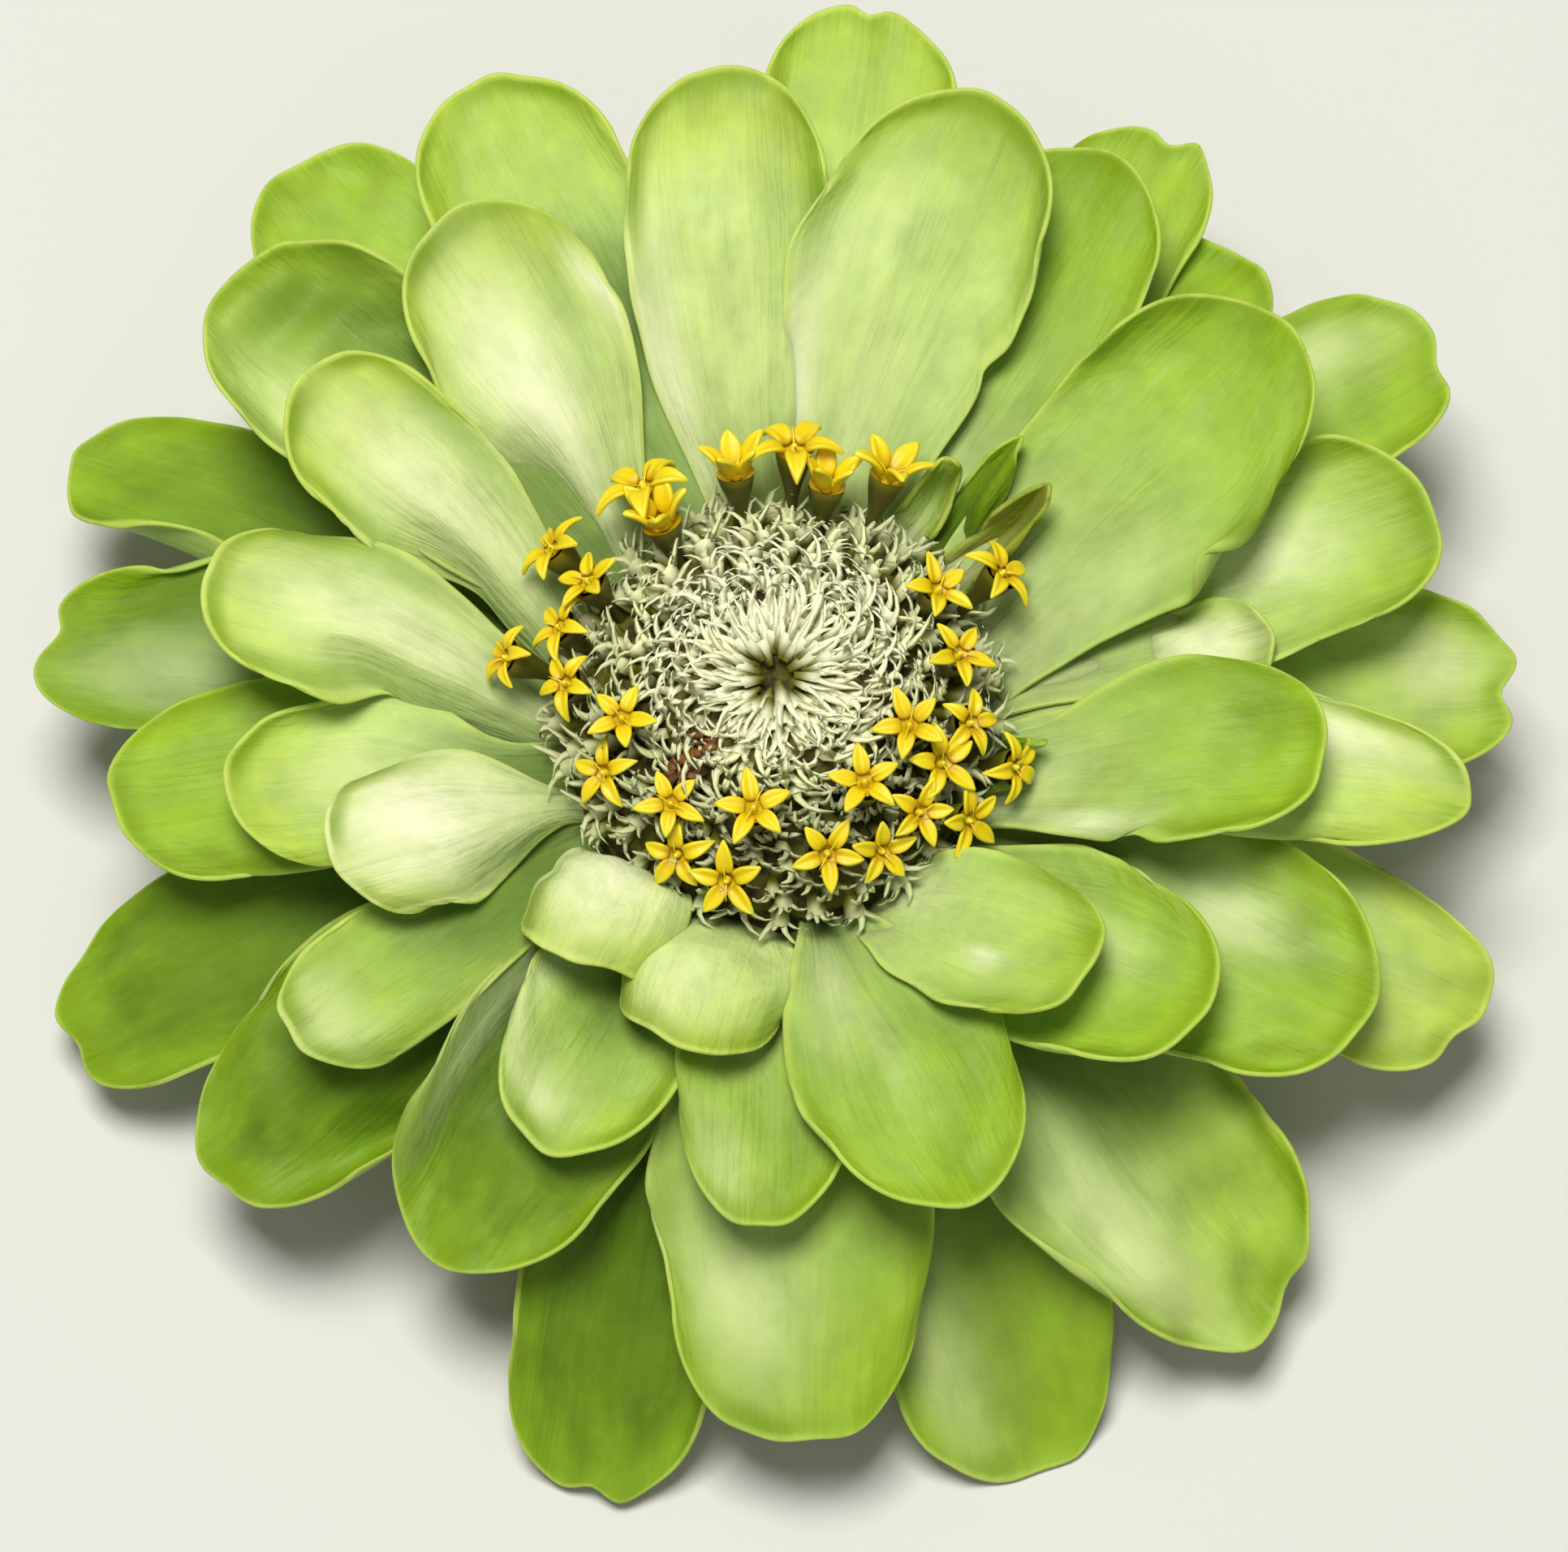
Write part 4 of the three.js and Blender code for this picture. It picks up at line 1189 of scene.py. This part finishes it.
def makeFlorets():
    dice = random.Random(21)
    make = floretMake
    opened = [makeFloretTemplate("star", *plan) for plan in openLobes]
    upright = [makeFloretTemplate("star", *plan) for plan in uprightLobes]
    starParts = []
    tubeParts = []
    for bearing, reach, height in florets:
        footReach = clamp(reach * make["footShare"], make["footLowest"], make["footHighest"])
        foot = polar(footReach, bearing, make["footHeight"])
        head = polar(reach, bearing, height)
        tubeParts.append(makeTube(foot, head))
        facing = (head - foot).normalized().to_track_quat("Z", "Y").to_matrix().to_4x4()
        far = make["farSide"][0] < bearing < make["farSide"][1]
        spin = turned(dice.uniform(0, 360))
        size = Matrix.Scale(dice.uniform(0.92, 1.06) * (make["farSize"] if far else 1), 4)
        star = dice.choice(upright if far else opened)
        starParts.append(copyPiece(star, Matrix.Translation(toBloom(head)) @ facing @ spin @ size))
    lobes = joinPieces("floret_stars", starParts)
    tubes = joinPieces("floret_tubes", tubeParts)
    roundOff(tubes)
    for star in opened + upright:
        bpy.data.objects.remove(star)
    wear(lobes, makeFloretMaterial(floretPaint))
    wear(tubes, makeTubeMaterial(floretPaint))
    for piece in (lobes, tubes):
        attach(piece, "root")
        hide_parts("disc_florets")
        print("florets:", piece.name, len(piece.data.polygons), "faces")


def makeWithered():
    # two spent florets, brown and crumpled, low on the near side of the cone
    template = makeFloretTemplate("withered", *witheredLobes)
    crumple = Matrix.Diagonal(floretMake["witheredShape"])
    parts = []
    for i, (bearing, reach, height) in enumerate(witheredFlorets):
        spot = Matrix.Translation(toBloom(polar(reach, bearing, height)))
        tilt = turned(floretMake["witheredTilt"], polar(1, bearing + 90, 0))
        parts.append(copyPiece(template, spot @ tilt @ Matrix.Rotation(1.1 * i, 4, "Z") @ crumple))
    bpy.data.objects.remove(template)
    piece = joinPieces("florets_withered", parts)
    wear(piece, makeWitheredMaterial(floretPaint))
    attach(piece, "root")
    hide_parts("disc_florets")
    print("florets:", piece.name, len(piece.data.polygons), "faces")


makeFlorets()
makeWithered()
for group in templates.values():
    for template in group:
        bpy.data.objects.remove(template)


# receptacle rim, which the ray petals grow from

rimMake = {
    "profile": [(7.4, 13.0), (13.6, 13.0), (13.6, 15.4), (13.0, 18.0), (7.4, 18.0), (7.4, 13.0)],
    "bumps": 0.2,
}

rim = turnedPiece("receptacle_rim", rimMake["profile"], bumps=rimMake["bumps"])
wear(rim, chaffCore)
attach(rim, "root")
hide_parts("ray_petals")
print("rim:", len(rim.data.polygons), "faces")


# involucre: a green cup in overlapping scales with dark papery edges

involucreMake = {
    "thickness": 0.55,
    "rows": [
        {"count": 8, "turn": 36, "radius": 7.3, "height": 4.4, "outward": 62, "length": 5.4, "width": 6.4},
        {"count": 10, "turn": 4, "radius": 10.6, "height": 5.9, "outward": 30, "length": 5.2, "width": 7.0},
        {"count": 12, "turn": 0, "radius": 12.4, "height": 7.8, "outward": 14, "length": 4.9, "width": 7.2},
    ],
    "cup": [(0, 3.3), (5, 3.3), (9.4, 4.5), (12.2, 7.1), (13.1, 12.7), (0, 12.7)],
    "cupBumps": 0.15,
    "green": tint(128, 156, 60),
    "shade": tint(92, 122, 38),
    "edge": tint(58, 40, 20),
    "veins": 5.0,
    "seed": 3.0,
}


def makeScaleMaterial(make):
    material, board, shader = newMaterial("involucreScale")
    place = board.attribute("petalPlace")
    along, across, edge = board.split(place)
    veins = board.veins(place, make["seed"], make["veins"])
    green = board.mix(board.remap(veins["Streaks"], 0.35, 0.65), make["shade"], make["green"])
    frayed = board.plus(edge, board.swing(veins["Fine"], 0.8))
    dark = board.times(board.remap(frayed, 0.25, 0.75, 1.0, 0.0), board.remap(along, 0.3, 0.6))
    board.feed(shader, "Base Color", board.mix(dark, green, make["edge"]))
    board.feed(shader, "Roughness", board.remap(veins["Fine"], 0.3, 0.7, 0.45, 0.65))
    board.bump(shader, veins["Streaks"], 0.4, 0.0002)
    return material


def makeScale(row, bearing, seed):
    lean = math.radians(row["outward"])
    outwards = polar(1, bearing, 0)
    sideways = polar(1, bearing + 90, 0)
    length = Vector((0, 0, math.cos(lean))) + outwards * math.sin(lean)
    facing = outwards * math.cos(lean) - Vector((0, 0, math.sin(lean)))

    def spread(v):
        return 0.72 + 0.28 * math.sin(math.pi * min(1, v * 0.9))

    def place(u, v):
        turn = math.pi * (u - 0.5)
        x = math.sin(turn) * row["width"] / 2 * spread(v)
        y = row["length"] * v * (0.62 + 0.38 * math.cos(turn)) + 0.15 * grain(x, 3, seed) * v
        out = -x * x / (2.4 * row["radius"]) + 0.5 * v ** 3 + 0.25 * grain(x * 0.6, y * 0.6, seed)
        foot = polar(row["radius"], bearing, row["height"])
        return toBloom(foot + sideways * x + length * y + facing * out)

    def note(u, v):
        x = abs(math.sin(math.pi * (u - 0.5)))
        return v, u * 2 - 1, min((1 - x) * row["width"] / 2 * spread(v), (1 - v) * row["length"])

    return shapedGrid("scale", 10, 9, place, {"petalPlace": note})


def makeInvolucre():
    make = involucreMake
    paint = makeScaleMaterial(make)
    parts = [
        makeScale(row, row["turn"] + 360 * i / row["count"] + 4 * grain(i, r, 5), i + 20 * r)
        for r, row in enumerate(make["rows"]) for i in range(row["count"])]
    scales = joinPieces("involucre_scales", parts)
    applyModifier(scales, "SOLIDIFY", thickness=make["thickness"] * mm, offset=0, use_quality_normals=True)
    roundOff(scales)
    cup = turnedPiece("involucre_cup", make["cup"], columns=60, bumps=make["cupBumps"])
    for piece in (scales, cup):
        wear(piece, paint)
        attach(piece, "root")
        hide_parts("involucre")
        print("involucre:", piece.name, len(piece.data.polygons), "faces")


makeInvolucre()


# stalk: the ribbed, hairy stub under the bloom

stalkMake = {
    "profile": [(0, 0), (1.9, 0.02), (2.45, 0.0), (2.6, 0.3), (2.55, 1.6), (2.8, 2.6), (3.1, 3.0), (0, 3.0)],
    "radius": 2.55,
    "ribs": 9,
    "ribDepth": 0.12,
    "hairs": 150,
    "hairLength": 0.7,
    "hairRadius": 0.05,
    "hairRoot": 2.5,  # distance of the hairs' roots from the axis
    "hairHeights": (0.7, 2.7),
    "hairTilt": (60, 100),
    "green": tint(140, 162, 78),
    "rib": tint(108, 132, 52),
    "pith": tint(214, 220, 176),
}


def makeStalkMaterial(make):
    material, board, shader = newMaterial("stalkSkin", Roughness=0.6)
    x, y, z = board.split(board.here())
    drawn = board.merge(board.times(x, 1400), board.times(y, 1400), board.times(z, 250))
    streaks = board.noise(drawn, 1.0, 3.0)
    skin = board.mix(board.remap(streaks, 0.35, 0.65), make["rib"], make["green"])
    cutEnd = board.remap(z, 0.00004, 0.00012, 1.0, 0.0)
    board.feed(shader, "Base Color", board.mix(cutEnd, skin, make["pith"]))
    board.bump(shader, streaks, 0.4, 0.0002)
    return material


def makeHairs(make):
    deselectAll()
    length = make["hairLength"] * mm
    bpy.ops.mesh.primitive_cone_add(vertices=4, radius1=make["hairRadius"] * mm, depth=length)
    hair = bpy.context.object
    hair.data.transform(Matrix.Translation((0, 0, length / 2)))
    dice = random.Random(4)
    parts = []
    for i in range(make["hairs"]):
        bearing = dice.uniform(0, 360)
        height = dice.uniform(*make["hairHeights"])
        outward = turned(bearing) @ turned(dice.uniform(*make["hairTilt"]), "Y")
        spot = Matrix.Translation(toBloom(polar(make["hairRoot"], bearing, height)))
        parts.append(copyPiece(hair, spot @ outward))
    hairs = joinPieces("stalk_hairs", parts)
    bpy.data.objects.remove(hair)
    return hairs


def makeStalk():
    make = stalkMake
    ribShare = make["ribDepth"] / make["radius"]
    stub = turnedPiece("stalk_stub", make["profile"], columns=72, ribs=make["ribs"], ribShare=ribShare)
    hairs = makeHairs(make)
    paint = makeStalkMaterial(make)
    for piece in (stub, hairs):
        wear(piece, paint)
        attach(piece, "root")
        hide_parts("stem")
        print("stalk:", piece.name, len(piece.data.polygons), "faces")


makeStalk()
